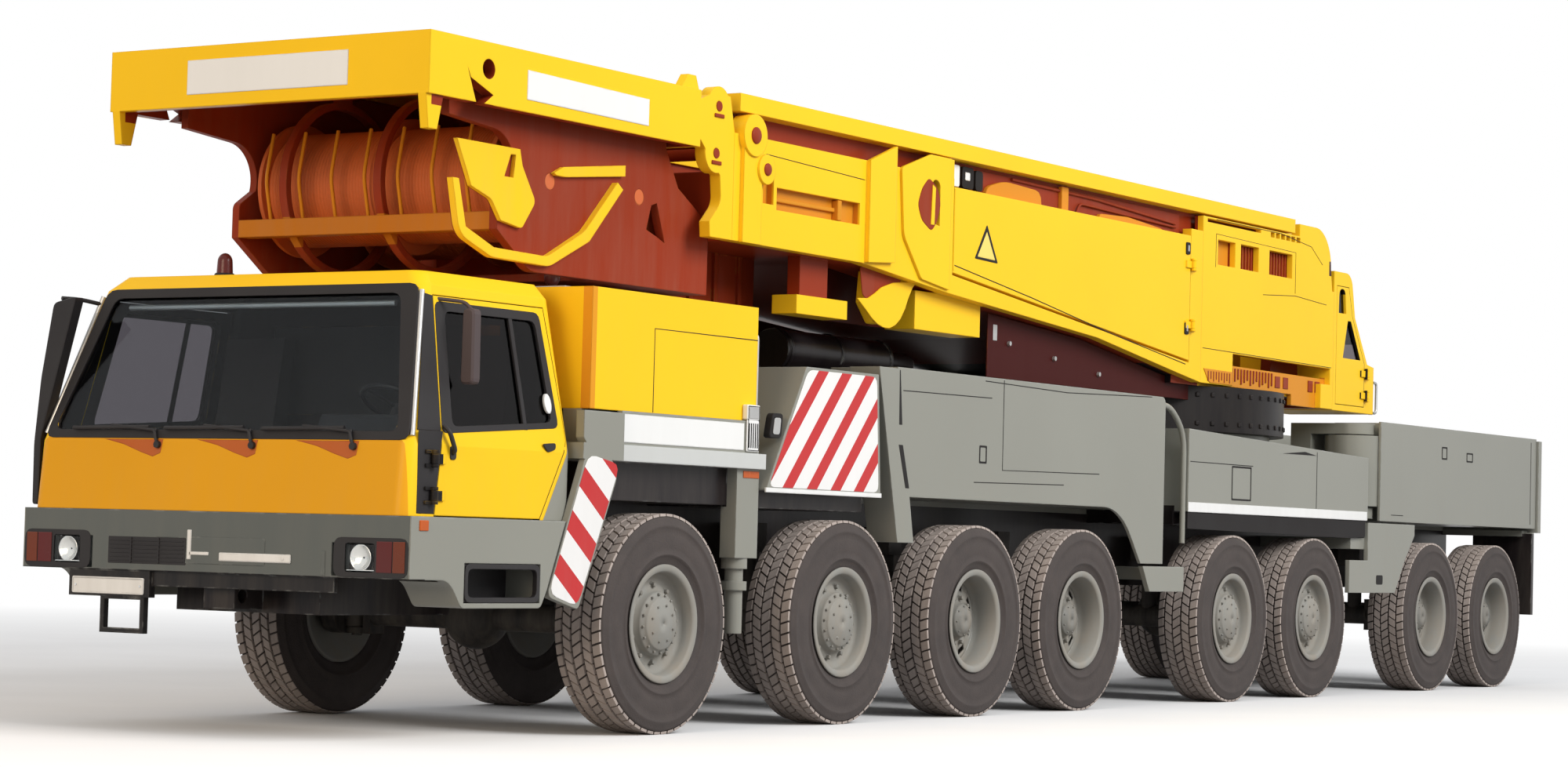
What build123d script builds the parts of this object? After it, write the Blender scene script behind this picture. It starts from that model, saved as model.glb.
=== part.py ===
from build123d import *
import os

os.makedirs("parts", exist_ok=True)

# Heavy eight-axle mobile crane, standing as it travels: the superstructure faces the rear,
# its mast folded forward. Millimetres; +X forward, +Y left, +Z up, the ground at Z = 0 and
# the origin under the middle of the vehicle. Stations are measured rearwards from the
# bumper's face and turned into X by at().

# ---- driving dimensions -------------------------------------------------------------
overall_length = 18050
overall_width = 3000
mast_top = 4170
running_gap = 0.05
seat_gap = 0.3
panel_gap = 5

# axles and wheels
first_axle = 2580
axle_spacings = (2140, 1830, 1650, 2700, 1650, 2700, 1650)
tyre_radius = 690
tyre_width = 385
tyre_inset = 10
rim_radius = 345
rim_half_width = 150
spindle_radius = 60
kingpin_y = 1000
kingpin_radius = 35

# chassis
frame_half_width = 560
frame_bottom = 940
frame_top = 1560
cab_floor_z = 1310

# driver's cab
cab_waist_z = 1720
cab_roof_z = 2740
cab_rear = 1600
cab_wall = 50
cab_inset = 50
cab_roof_lean = 230

# engine cover
cover_front = 1750
cover_rear = 3600
cover_bottom = 2000
cover_top = 2745
cover_wall = 50

# outriggers
arm_top = 2460
arm_bottom = 1560
arm_inner_y = 930
arm_skin = 25
pivot_y = 1200
boss_radius = 250
arm_pin_radius = 70
lug_radius = 200
front_pivot = 9550
front_arm_tip = 5350
rear_pivot = 13960
rear_arm_tip = overall_length - 100

# superstructure
slew_station = 11650
ring_radius = 1420
ring_width = 180
ring_bottom = 2240
ring_top = 2620
house_half_width = 1250
house_wall = 80
house_front = 3560
house_tail = 300
wall_top = 3900
hood_front = 10650
hood_top = 4030
mast_pivot = 12950
mast_pivot_z = 3800
mast_foot_radius = 300
mast_pin_radius = 60
mast_head = 3620
leg_gap = 40
leg_thickness = 150
flange_depth = 120
flange_rear = 12500
side_door_front = 6480
side_door_rear = 10420
drum_z = 3400
drum_flange_radius = 430
drum_radius = 350
drum_shaft_radius = 50
drum_stations = (1800, 2760)

half_width = overall_width / 2
cab_half_width = half_width - cab_inset
cab_roof_half_width = cab_half_width - cab_roof_lean
arm_outer_y = half_width - 20
wheel_y = half_width - tyre_inset - tyre_width / 2
axle_stations = [first_axle + sum(axle_spacings[:i]) for i in range(8)]
house_inner = house_half_width - house_wall
house_rear = slew_station + ring_radius + house_tail
leg_outer_y = house_inner - leg_gap
leg_inner_y = leg_outer_y - leg_thickness
turntable_half = house_inner - 20
turntable_front = slew_station - ring_radius + 70
turntable_rear = slew_station + ring_radius - 70
pedestal_radius = ring_radius - ring_width + 60
winch_side_y = leg_inner_y + 20
winch_side = 60
drum_half_width = winch_side_y - 70


def at(station):
    return overall_length / 2 - station


def block(stations, widths, heights, mode=Mode.ADD):
    """A box between two stations, two Y values and two heights."""
    length = abs(stations[1] - stations[0])
    centre = (at(sum(stations) / 2), sum(widths) / 2, sum(heights) / 2)
    with Locations(centre):
        Box(length, abs(widths[1] - widths[0]), abs(heights[1] - heights[0]), mode=mode)


def plate(outline, y_a, y_b, mode=Mode.ADD, grow=0, rounds=()):
    """An outline of (station, height) points seen from the side, between two Y values.

    rounds lists the corners to round off: station, height, radius."""
    with BuildSketch(Plane.XZ.offset(-max(y_a, y_b))) as profile:
        with BuildLine():
            Polyline(*[(at(s), z) for s, z in outline], close=True)
        make_face()
        for s, z, radius in rounds:
            fillet(profile.vertices().sort_by_distance((at(s), z, 0))[0], radius)
        if grow:
            offset(amount=grow, kind=Kind.INTERSECTION)
    extrude(profile.sketch, amount=abs(y_a - y_b), mode=mode)


def bar_y(station, z, radius, y_a, y_b, mode=Mode.ADD):
    """A round bar or bore that lies across the vehicle."""
    with Locations(Location((at(station), (y_a + y_b) / 2, z), (90, 0, 0))):
        Cylinder(radius, abs(y_a - y_b), mode=mode)


def bar_x(station_a, station_b, y, z, radius, mode=Mode.ADD):
    """A round bar or bore that lies along the vehicle."""
    with Locations(Location((at((station_a + station_b) / 2), y, z), (0, 90, 0))):
        Cylinder(radius, abs(station_b - station_a), mode=mode)


def post(station, y, radius, z_a, z_b, mode=Mode.ADD):
    """A round upright."""
    with Locations((at(station), y, (z_a + z_b) / 2)):
        Cylinder(radius, abs(z_b - z_a), mode=mode)


def save(piece, name):
    piece.label = name
    export_step(piece, "parts/" + name + ".step")


# ---- wheels ---------------------------------------------------------------------------
# One wheel is a tyre and a rim, both turned about +Z, the outside of the wheel up.
# Rim kinds: recess of the disc, hub radius, how far the hub stands out from the centre.
rim_kinds = {"planetary": (60, 185, 172), "plain": (-10, 120, 95)}
wheel_kinds = ("planetary", "planetary", "plain", "plain") * 2
disc_thickness = 25
hub_inner = -80
bore_end = 40


def make_wheel(kind):
    disc_at, hub_radius, hub_out = rim_kinds[kind]
    shoulder = tyre_width / 2 - 30
    with BuildPart() as tyre:
        with BuildSketch(Plane.XZ):
            with BuildLine():
                tread = Line((tyre_radius, -shoulder + 25), (tyre_radius, shoulder - 25))
                upper = Line(tread @ 1, (tyre_radius - 40, shoulder + 8))
                side = ThreePointArc(
                    upper @ 1,
                    ((tyre_radius + rim_radius) / 2, tyre_width / 2),
                    (rim_radius, rim_half_width),
                )
                bead = Line(side @ 1, (rim_radius, -rim_half_width))
                back = ThreePointArc(
                    bead @ 1,
                    ((tyre_radius + rim_radius) / 2, -tyre_width / 2),
                    (tyre_radius - 40, -shoulder - 8),
                )
                Line(back @ 1, tread @ 0)
            make_face()
        revolve(axis=Axis.Z)
    seat = rim_radius - seat_gap
    lip = rim_half_width + seat_gap
    lip_radius = rim_radius + 28
    barrel = rim_radius - 20
    with BuildPart() as rim:
        with BuildSketch(Plane.XZ):
            with BuildLine():
                Polyline(
                    (spindle_radius + running_gap, hub_inner),
                    (spindle_radius + 50, hub_inner),
                    (spindle_radius + 50, disc_at),
                    (barrel, disc_at - 30),
                    (barrel, -lip - 12),
                    (lip_radius, -lip - 12),
                    (lip_radius, -lip),
                    (seat, -lip),
                    (seat, lip),
                    (lip_radius, lip),
                    (lip_radius, lip + 12),
                    (barrel, lip + 12),
                    (barrel, disc_at + disc_thickness - 30),
                    (hub_radius + 20, disc_at + disc_thickness),
                    (hub_radius, hub_out - 30),
                    (hub_radius - 35, hub_out),
                    (0, hub_out),
                    (0, bore_end),
                    (spindle_radius + running_gap, bore_end),
                    close=True,
                )
            make_face()
        revolve(axis=Axis.Z)
    return Compound(children=[tyre.part, rim.part])


wheels = {kind: make_wheel(kind) for kind in rim_kinds}
for number, (station, kind) in enumerate(zip(axle_stations, wheel_kinds), 1):
    for side, sign in (("left", 1), ("right", -1)):
        hub_plane = Plane(
            origin=(at(station), sign * wheel_y, tyre_radius),
            x_dir=(1, 0, 0),
            z_dir=(0, sign, 0),
        )
        save(wheels[kind].moved(hub_plane.location), f"wheel_{number}_{side}")

# ---- steering knuckles and axles ---------------------------------------------------------
# Each knuckle turns on its kingpin between the axle's two ears and carries the wheel.
steered_axles = (1, 2, 3, 4, 7, 8)
knuckle_radius = 70
knuckle_half = 100
ear_gap = 5
ear_thickness = 40
web_y = kingpin_y - 110
beam_radius = 90
spindle_end = wheel_y + bore_end - 5
brake_radius = 150

for number in steered_axles:
    station = axle_stations[number - 1]
    for side, sign in (("left", 1), ("right", -1)):
        arm_reach = -230 if number < 5 else 230
        with BuildPart() as knuckle:
            post(station, sign * kingpin_y, knuckle_radius,
                 tyre_radius - knuckle_half, tyre_radius + knuckle_half)
            pin_reach = knuckle_half + ear_gap + ear_thickness + 15
            post(station, sign * kingpin_y, kingpin_radius,
                 tyre_radius - pin_reach, tyre_radius + pin_reach)
            bar_y(station, tyre_radius, spindle_radius, sign * kingpin_y, sign * spindle_end)
            bar_y(station, tyre_radius, brake_radius, sign * (kingpin_y + 80), sign * (wheel_y - 97))
            block((station, station - arm_reach), (sign * (kingpin_y - 60), sign * (kingpin_y - 10)),
                  (tyre_radius - 60, tyre_radius - 30))
        save(knuckle.part, f"knuckle_{number}_{side}")

driven_axles = (1, 2, 5, 6)
strut_y = 700
strut_radius = 65
bracket_bottom = 1150
bracket_top = 1350

with BuildPart() as axle_beams:
    for number, station in enumerate(axle_stations, 1):
        steered = number in steered_axles
        beam_end = web_y - 40 if steered else wheel_y - tyre_width / 2 - 5
        bar_y(station, tyre_radius, beam_radius, -beam_end, beam_end)
        if number in driven_axles:
            with Locations((at(station), 0, tyre_radius)):
                Sphere(215)
        for sign in (1, -1):
            if steered:
                inner = tyre_radius - knuckle_half - ear_gap
                outer = inner - ear_thickness
                block((station - 75, station + 75), (sign * (web_y - 60), sign * web_y),
                      (outer, 2 * tyre_radius - outer))
                for low, high in ((outer, inner), (2 * tyre_radius - inner, 2 * tyre_radius - outer)):
                    block((station - 65, station + 65), (sign * (web_y - 10), sign * kingpin_y),
                          (low, high))
                    post(station, sign * kingpin_y, 65, low, high)
                post(station, sign * kingpin_y, kingpin_radius + running_gap,
                     outer - 10, 2 * tyre_radius - outer + 10, mode=Mode.SUBTRACT)
            else:
                bar_y(station, tyre_radius, spindle_radius, sign * beam_end, sign * spindle_end)
                bar_y(station, tyre_radius, brake_radius, sign * (beam_end - 20), sign * (wheel_y - 97))
            post(station, sign * strut_y, strut_radius, tyre_radius, bracket_top)
            block((station - 90, station + 90), (sign * frame_half_width, sign * (strut_y + 80)),
                  (bracket_bottom, bracket_top))
save(axle_beams.part, "axle_beams")

# ---- chassis frame -------------------------------------------------------------------------
frame_front = 350
frame_rear = overall_length - 150
frame_nose_bottom = 720
frame_nose_end = 1700
lug_thickness = 100
lug_levels = (arm_bottom + 20, arm_top - 20 - lug_thickness)
deck_half_width = 880
deck_top = 2150

with BuildPart() as chassis_frame:
    plate([(frame_front, cab_floor_z), (frame_front, frame_nose_bottom),
           (frame_nose_end - 150, frame_nose_bottom), (frame_nose_end + 50, frame_bottom),
           (frame_rear, frame_bottom), (frame_rear, frame_top), (frame_nose_end + 100, frame_top),
           (frame_nose_end, cab_floor_z)], -frame_half_width, frame_half_width)
    # the upper deck box between the outriggers
    for low, high in ((5300, slew_station - 1700), (slew_station + 1700, rear_arm_tip + 20)):
        block((low, high), (-deck_half_width, deck_half_width), (frame_top, deck_top))
    block((slew_station - 1700, slew_station + 1700), (-deck_half_width, deck_half_width),
          (frame_top, deck_top - 30))
    post(slew_station, 0, pedestal_radius, frame_top, ring_bottom)
    # the outriggers' hinge lugs
    for pivot in (front_pivot, rear_pivot):
        for sign in (1, -1):
            block((pivot - lug_radius, pivot + lug_radius), (sign * (deck_half_width - 200), sign * deck_half_width),
                  (frame_top, lug_levels[1] + lug_thickness))
            for level in lug_levels:
                block((pivot - lug_radius, pivot + lug_radius), (sign * (deck_half_width - 200), sign * pivot_y),
                      (level, level + lug_thickness))
                post(pivot, sign * pivot_y, lug_radius, level, level + lug_thickness)
            post(pivot, sign * pivot_y, arm_pin_radius + running_gap,
                 arm_bottom, arm_top, mode=Mode.SUBTRACT)
    # the front towing jaw
    block((frame_front - 250, frame_front), (-120, 120), (740, 900))
    bar_y(frame_front - 180, 820, 40, -120, 120, mode=Mode.SUBTRACT)
save(chassis_frame.part, "chassis_frame")

# ---- outriggers ------------------------------------------------------------------------------
# Each arm is a box beam with its skin, swung out about an upright pin at one end.
# Columns: name, pivot station, direction of the tip, tip station.
arm_rows = (("front", front_pivot, -1, front_arm_tip), ("rear", rear_pivot, 1, rear_arm_tip))
neck_bottom = lug_levels[0] + lug_thickness + 10
neck_top = lug_levels[1] - 10
body_start = lug_radius + 20
skin_bottom = 1130

for name, pivot, direction, tip in arm_rows:
    for side, sign in (("left", 1), ("right", -1)):
        with BuildPart() as arm:
            root = pivot + direction * body_start
            block((tip, root), (sign * arm_inner_y, sign * arm_outer_y), (arm_bottom, arm_top))
            block((root, pivot), (sign * (arm_inner_y + 20), sign * (arm_outer_y - 40)), (neck_bottom, neck_top))
            post(pivot, sign * pivot_y, boss_radius, neck_bottom, neck_top)
            post(pivot, sign * pivot_y, arm_pin_radius, lug_levels[0], lug_levels[1] + lug_thickness)
            skin = sign * (arm_outer_y - arm_skin)
            if name == "front":
                arch = axle_stations[3]
                plate([(pivot, arm_top), (tip, arm_top), (tip, arm_bottom), (arch + 600, arm_bottom),
                       (arch + 960, skin_bottom), (pivot, skin_bottom)], skin, sign * arm_outer_y,
                      rounds=((arch + 600, arm_bottom, 600), (pivot, arm_top, 60)))
                plate([(tip - 250, arm_top - 10), (tip + 10, arm_top - 10), (tip + 270, 1240), (tip + 50, 1240)],
                      sign * (arm_outer_y - 240), sign * arm_outer_y)
            else:
                plate([(pivot, arm_top), (tip, arm_top), (tip, arm_bottom), (pivot, arm_bottom)],
                      skin, sign * arm_outer_y)
        save(arm.part, f"outrigger_{name}_{side}")

# ---- front bumper and steps ---------------------------------------------------------------------
lamp_y = (930, 1380)
lamp_z = (960, 1150)
step_inner = 1150

with BuildPart() as front_bumper:
    block((0, 60), (-half_width, half_width), (950, cab_floor_z))
    block((60, frame_front), (-500, 500), (1000, 1200))
    plate([(0, cab_floor_z), (0, 950), (360, 950), (480, 790), (1240, 790), (1300, 900), (1470, cab_floor_z)],
          step_inner, half_width, rounds=((360, 950, 150), (480, 790, 60), (1240, 790, 50)))
    block((500, 1230), (half_width - 260, half_width + 10), (820, 1050), mode=Mode.SUBTRACT)
    block((60, 400), (step_inner - 1, half_width - 60), (940, cab_floor_z - 40), mode=Mode.SUBTRACT)
    block((frame_front, 1300), (frame_half_width, step_inner), (1240, cab_floor_z))
    mirror(about=Plane.XZ)
    for sign in (1, -1):
        block((-10, 50), (sign * lamp_y[0], sign * lamp_y[1]), lamp_z, mode=Mode.SUBTRACT)
    block((-10, 40), (-420, 420), (1010, 1150), mode=Mode.SUBTRACT)
    # the number plate's carrier and the towing stirrup under it, on the right only
    block((10, 60), (-1120, -470), (790, 960))
    with BuildSketch(Plane.YZ.offset(at(55))) as stirrup:
        with Locations((-690, 690)):
            Rectangle(350, 230)
            Rectangle(290, 170, mode=Mode.SUBTRACT)
    extrude(stirrup.sketch, amount=40)
    # the dark guard that closes the middle below the bumper
    block((30, 60), (-470, 930), (860, 960))
save(front_bumper.part, "front_bumper")

# ---- driver's cab -----------------------------------------------------------------------------
# Sections from the floor to the roof. Columns: height, front station, half width.
cab_sections = (
    (cab_floor_z, 0, cab_half_width),
    (cab_waist_z, 40, cab_half_width),
    (cab_roof_z - 90, 340, cab_roof_half_width + 30),
    (cab_roof_z, 420, cab_roof_half_width - 60),
)


def cab_body(inset):
    """The cab's closed outer form, or the same form drawn in by a wall's thickness."""
    with BuildPart() as body:
        for lower, upper in zip(cab_sections, cab_sections[1:]):
            for z, front, half in (lower, upper):
                level = z
                if z == cab_floor_z:
                    level = z + inset
                if z == cab_roof_z:
                    level = z - inset
                with BuildSketch(Plane.XY.offset(level)):
                    length = cab_rear - front - 2 * inset
                    with Locations((at((cab_rear + front) / 2), 0)):
                        RectangleRounded(length, 2 * (half - inset), max(90 - inset, 20))
            loft(ruled=True)
    return body.part


door_front = 270
door_rear = 1270
door_outline = [(door_front, cab_floor_z + 8), (door_rear, cab_floor_z + 8), (1540, cab_waist_z + 80),
                (1490, 2590), (430, 2590)]
beacon_station = 700
door_window = [(430, 1800), (1440, 1870), (1410, 2530), (520, 2530)]
hinge_station = 235
hinge_pin_radius = 10
hinge_barrel_radius = 22
cab_outer = cab_body(0)
cab_inner = cab_body(cab_wall)
cab_wall_solid = cab_outer - cab_inner

# The doors take only the side walls: the cab's floor stays whole behind them.
floor_edge = cab_half_width - cab_wall
with BuildPart() as cab_side_walls:
    add(cab_wall_solid)
    block((0, cab_rear), (-floor_edge, floor_edge), (cab_floor_z, cab_floor_z + cab_wall), mode=Mode.SUBTRACT)

screen_foot = cab_half_width - 110
screen_head = cab_roof_half_width - 100
with BuildPart() as screen_cut:
    with BuildSketch(Plane.YZ.offset(at(cab_rear / 2))) as screen:
        with BuildLine():
            Polyline((-screen_foot, 1765), (screen_foot, 1765), (screen_head, 2615), (-screen_head, 2615), close=True)
        make_face()
        fillet(screen.vertices(), 70)
    extrude(amount=cab_rear / 2 + 100)
with BuildPart() as rear_window_cut:
    block((cab_rear - 200, cab_rear + 100), (-900, 900), (1950, 2500))


def hinge_fixed(axis_s, axis_y, z, toward, sign):
    """The pin with its two rings, on a leaf that runs to the post."""
    for low, high in ((z - 50, z - 30), (z + 30, z + 50)):
        post(axis_s, axis_y, hinge_barrel_radius, low, high)
        block((axis_s, axis_s + toward * 70), (axis_y - sign * 24, axis_y - sign * 10), (low, high))
    post(axis_s, axis_y, hinge_pin_radius, z - 50, z + 50)


def hinge_moving(axis_s, axis_y, z, toward, sign):
    """The middle barrel, on a leaf that runs over the door."""
    post(axis_s, axis_y, hinge_barrel_radius, z - 29, z + 29)
    block((axis_s + toward * 8, axis_s + toward * 110), (axis_y - sign * 24, axis_y - sign * 10), (z - 29, z + 29))
    post(axis_s, axis_y, hinge_pin_radius + running_gap, z - 30, z + 30, mode=Mode.SUBTRACT)


# The lower rear corners of the cab's sides are grey panels of the carrier.
cab_corner_outline = [(1305, cab_floor_z - 5), (1600, 1840), (1700, 1840), (1700, cab_floor_z - 5)]
with BuildPart() as cab_corners:
    for sign in (1, -1):
        plate(cab_corner_outline, sign * floor_edge, sign * (half_width + 50))
    add(cab_wall_solid, mode=Mode.INTERSECT)

cab_hinge_levels = (1430, 1640)
with BuildPart() as cab_shell:
    add(cab_wall_solid)
    add(cab_corners.part, mode=Mode.SUBTRACT)
    for sign in (1, -1):
        plate(door_outline, sign * 900, sign * (half_width + 50), mode=Mode.SUBTRACT, grow=panel_gap)
        block((door_front - panel_gap, door_rear + panel_gap), (sign * floor_edge, sign * (half_width + 50)),
              (cab_floor_z - 10, cab_floor_z + 20), mode=Mode.SUBTRACT)
    block((cab_wall, cab_rear - cab_wall), (panel_gap - floor_edge, floor_edge - panel_gap),
          (cab_floor_z, cab_floor_z + cab_wall))
    add(screen_cut.part, mode=Mode.SUBTRACT)
    add(rear_window_cut.part, mode=Mode.SUBTRACT)
    # the beacon on the roof
    post(beacon_station, 0, 70, cab_roof_z - 10, cab_roof_z + 20)
    post(beacon_station, 0, 55, cab_roof_z + 20, cab_roof_z + 130)
    for sign in (1, -1):
        for z in cab_hinge_levels:
            hinge_fixed(hinge_station, sign * (cab_half_width + 24), z, -1, sign)
save(cab_shell.part, "cab_shell")

for side, sign in (("left", 1), ("right", -1)):
    with BuildPart() as cab_door:
        add(cab_side_walls.part)
        plate(door_outline, sign * 900, sign * (half_width + 50), mode=Mode.INTERSECT)
        plate(door_window, sign * 900, sign * (half_width + 50), mode=Mode.SUBTRACT,
              rounds=[(s, z, 60) for s, z in door_window])
        for z in cab_hinge_levels:
            hinge_moving(hinge_station, sign * (cab_half_width + 24), z, 1, sign)
    save(cab_door.part, f"cab_door_{side}")

pane_outer = 15
pane_inner = 23
with BuildPart() as cab_glass:
    add(cab_body(pane_outer))
    add(cab_body(pane_inner), mode=Mode.SUBTRACT)
    with BuildPart(mode=Mode.PRIVATE) as openings:
        add(screen_cut.part)
        add(rear_window_cut.part)
    add(openings.part, mode=Mode.INTERSECT)
save(cab_glass.part, "cab_glass")

with BuildPart() as cab_interior:
    block((90, cab_rear - 60), (-cab_half_width + 70, cab_half_width - 70), (cab_floor_z + cab_wall, cab_floor_z + cab_wall + 20))
    block((150, 420), (-1300, 1300), (cab_floor_z + cab_wall, 1740))
    for y in (-900, 900):
        block((900, 1350), (y - 250, y + 250), (cab_floor_z + cab_wall, 1640))
        block((850, 1350), (y - 250, y + 250), (1640, 1780))
        plate([(1270, 1780), (1400, 1780), (1480, 2420), (1370, 2420)], y - 240, y + 240)
save(cab_interior.part, "cab_interior")

with BuildPart() as cab_mirrors:
    # each housing hangs ahead of the corner on two arms that end on the cab's skin
    block((30, 100), (half_width - 180, half_width - 10), (1950, 2480))
    block((60, 100), (half_width - 270, half_width - 130), (2480, 2510))
    block((60, 420), (half_width - 270, half_width - 230), (2480, 2510))
    block((30, 70), (half_width - 120, half_width - 80), (cab_waist_z - 60, 1950))
    add(cab_outer, mode=Mode.SUBTRACT)
    mirror(about=Plane.XZ)
save(cab_mirrors.part, "cab_mirrors")

# ---- engine and its cover -------------------------------------------------------------------
with BuildPart() as engine_cover:
    block((cover_front, cover_rear), (-cab_half_width, cab_half_width), (cover_bottom, cover_top))
    block((cover_front + cover_wall, cover_rear - cover_wall),
          (-cab_half_width + cover_wall, cab_half_width - cover_wall),
          (cover_bottom - 10, cover_top - cover_wall), mode=Mode.SUBTRACT)
save(engine_cover.part, "engine_cover")

with BuildPart() as engine_block:
    block((2000, 3400), (-430, 430), (frame_top, 2600))
save(engine_block.part, "engine_block")

# ---- side panels around the front axles --------------------------------------------------------
with BuildPart() as front_side_panels:
    # striped mudguard flap, the grey corner above it, the sill with its name board, and
    # the dark inner guard above the first wheel
    plate([(1305, 860), (1620, 780), (2030, 1680), (1670, 1740)], half_width - 45, half_width,
          rounds=((1305, 860, 40), (1620, 780, 40), (2030, 1680, 110), (1670, 1740, 60)))
    plate([(1630, 1820), (1630, 1985), (2050, 1985), (2050, 1700), (1690, 1755)], half_width - 60, half_width)
    block((1630, 3660), (frame_half_width, half_width), (1690, 1790))
    block((2050, 3600), (half_width - 60, half_width - 20), (1790, cover_bottom))
    block((2060, 3620), (frame_half_width, half_width - 120), (1450, 1690))
    block((cover_front, cover_rear), (cab_half_width - 200, cab_half_width - 60), (1790, cover_bottom))
    # the step post between the first two axles
    block((3380, 3640), (half_width - 160, half_width - 40), (1110, 1690))
    post(3510, half_width - 130, 60, 620, 1110)
    post(3510, half_width - 130, 85, 900, 960)
    post(3510, half_width - 130, 85, 1040, 1110)
    mirror(about=Plane.XZ)
    add(cab_corners.part)
save(front_side_panels.part, "front_side_panels")

silencer_y = 620
silencer_z = 2570
silencer_radius = 150
with BuildPart() as deck_boxes:
    plate([(3670, 1560), (5120, 1560), (5060, 2390), (4130, 2390)], 1050, half_width)
    block((3670, 5120), (frame_half_width, 1350), (1440, 1560))
    block((3900, 5000), (deck_half_width - 300, 1050), (1560, 2200))
    mirror(about=Plane.XZ)
    # the engine's silencer on two saddles, with its tail pipe
    bar_x(5040, 6480, silencer_y, silencer_z, silencer_radius)
    bar_x(6480, 6900, silencer_y, silencer_z, silencer_radius / 2)
    for s in (5080, 5760, 6440):
        bar_x(s, s + 30, silencer_y, silencer_z, silencer_radius + 8)
    for s in (5500, 6250):
        block((s, s + 80), (silencer_y - 100, silencer_y + 100), (deck_top, silencer_z - 100))
save(deck_boxes.part, "deck_boxes")

with BuildPart() as mid_deck:
    plate([(9990, frame_top), (9990, 2230), (13680, 2120), (13680, frame_top)], deck_half_width, half_width - 20)
    block((9990, 13680), (frame_half_width, half_width - 150), (1450, frame_top))
    mirror(about=Plane.XZ)
    post(slew_station, 0, pedestal_radius + seat_gap, frame_top, ring_bottom, mode=Mode.SUBTRACT)
save(mid_deck.part, "mid_deck")

skirt_front = axle_stations[5] + tyre_radius + 50
with BuildPart() as rear_deck:
    # skirts behind the fourth axle and ahead of the seventh
    plate([(9200, 1110), (9330, 910), (9940, 910), (9940, 1110)], half_width - 60, half_width - 20)
    block((9420, 9900), (frame_half_width, half_width - 60), (1000, 1100))
    plate([(skirt_front, 910), (14340, 910), (14560, 1200), (14790, 1440), (14790, 1540), (13700, 1540),
           (13700, 1200), (skirt_front, 1200)], half_width - 60, half_width - 20)
    block((13400, 14000), (frame_half_width, half_width - 60), (1300, 1400))
    # the tail plate and the last mudguards
    block((rear_arm_tip + 20, overall_length), (-half_width, half_width), (1520, 2440))
    block((rear_arm_tip - 90, rear_arm_tip - 30), (frame_half_width + 300, half_width - 20), (700, 1520))
    block((rear_arm_tip - 150, rear_arm_tip), (frame_half_width, half_width - 100), (1480, 1540))
    mirror(about=Plane.XZ)
save(rear_deck.part, "rear_deck")

with BuildPart() as slewing_ring:
    post(slew_station, 0, ring_radius, ring_bottom, ring_top)
    post(slew_station, 0, ring_radius - ring_width, ring_bottom - 1, ring_top + 1, mode=Mode.SUBTRACT)
save(slewing_ring.part, "slewing_ring")

# ---- superstructure platform ------------------------------------------------------------------
# The side walls' lower edge, from the front corner to the hood.
post_front = 6270
post_rear = 6470
post_top = 4035
lower_edge = [(house_front, 3190), (5200, 3180), (6420, 3060), (8790, 2890), (10190, 2700), (hood_front, 2640)]
floor_thickness = 60
side_door_outline = [(side_door_front, 3840), (side_door_rear, 3840), (side_door_rear, 2810), (side_door_front, 3215)]
side_opening_outline = [(side_door_front, post_top), (side_door_rear, post_top), (side_door_rear, 2795),
                        (side_door_front, 3200)]
boom_bore_station = 9500
boom_bore_z = 3450
boom_bore_radius = 90
turntable_top = 2760
under_bottom = 2780
chest_half = 600

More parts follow.
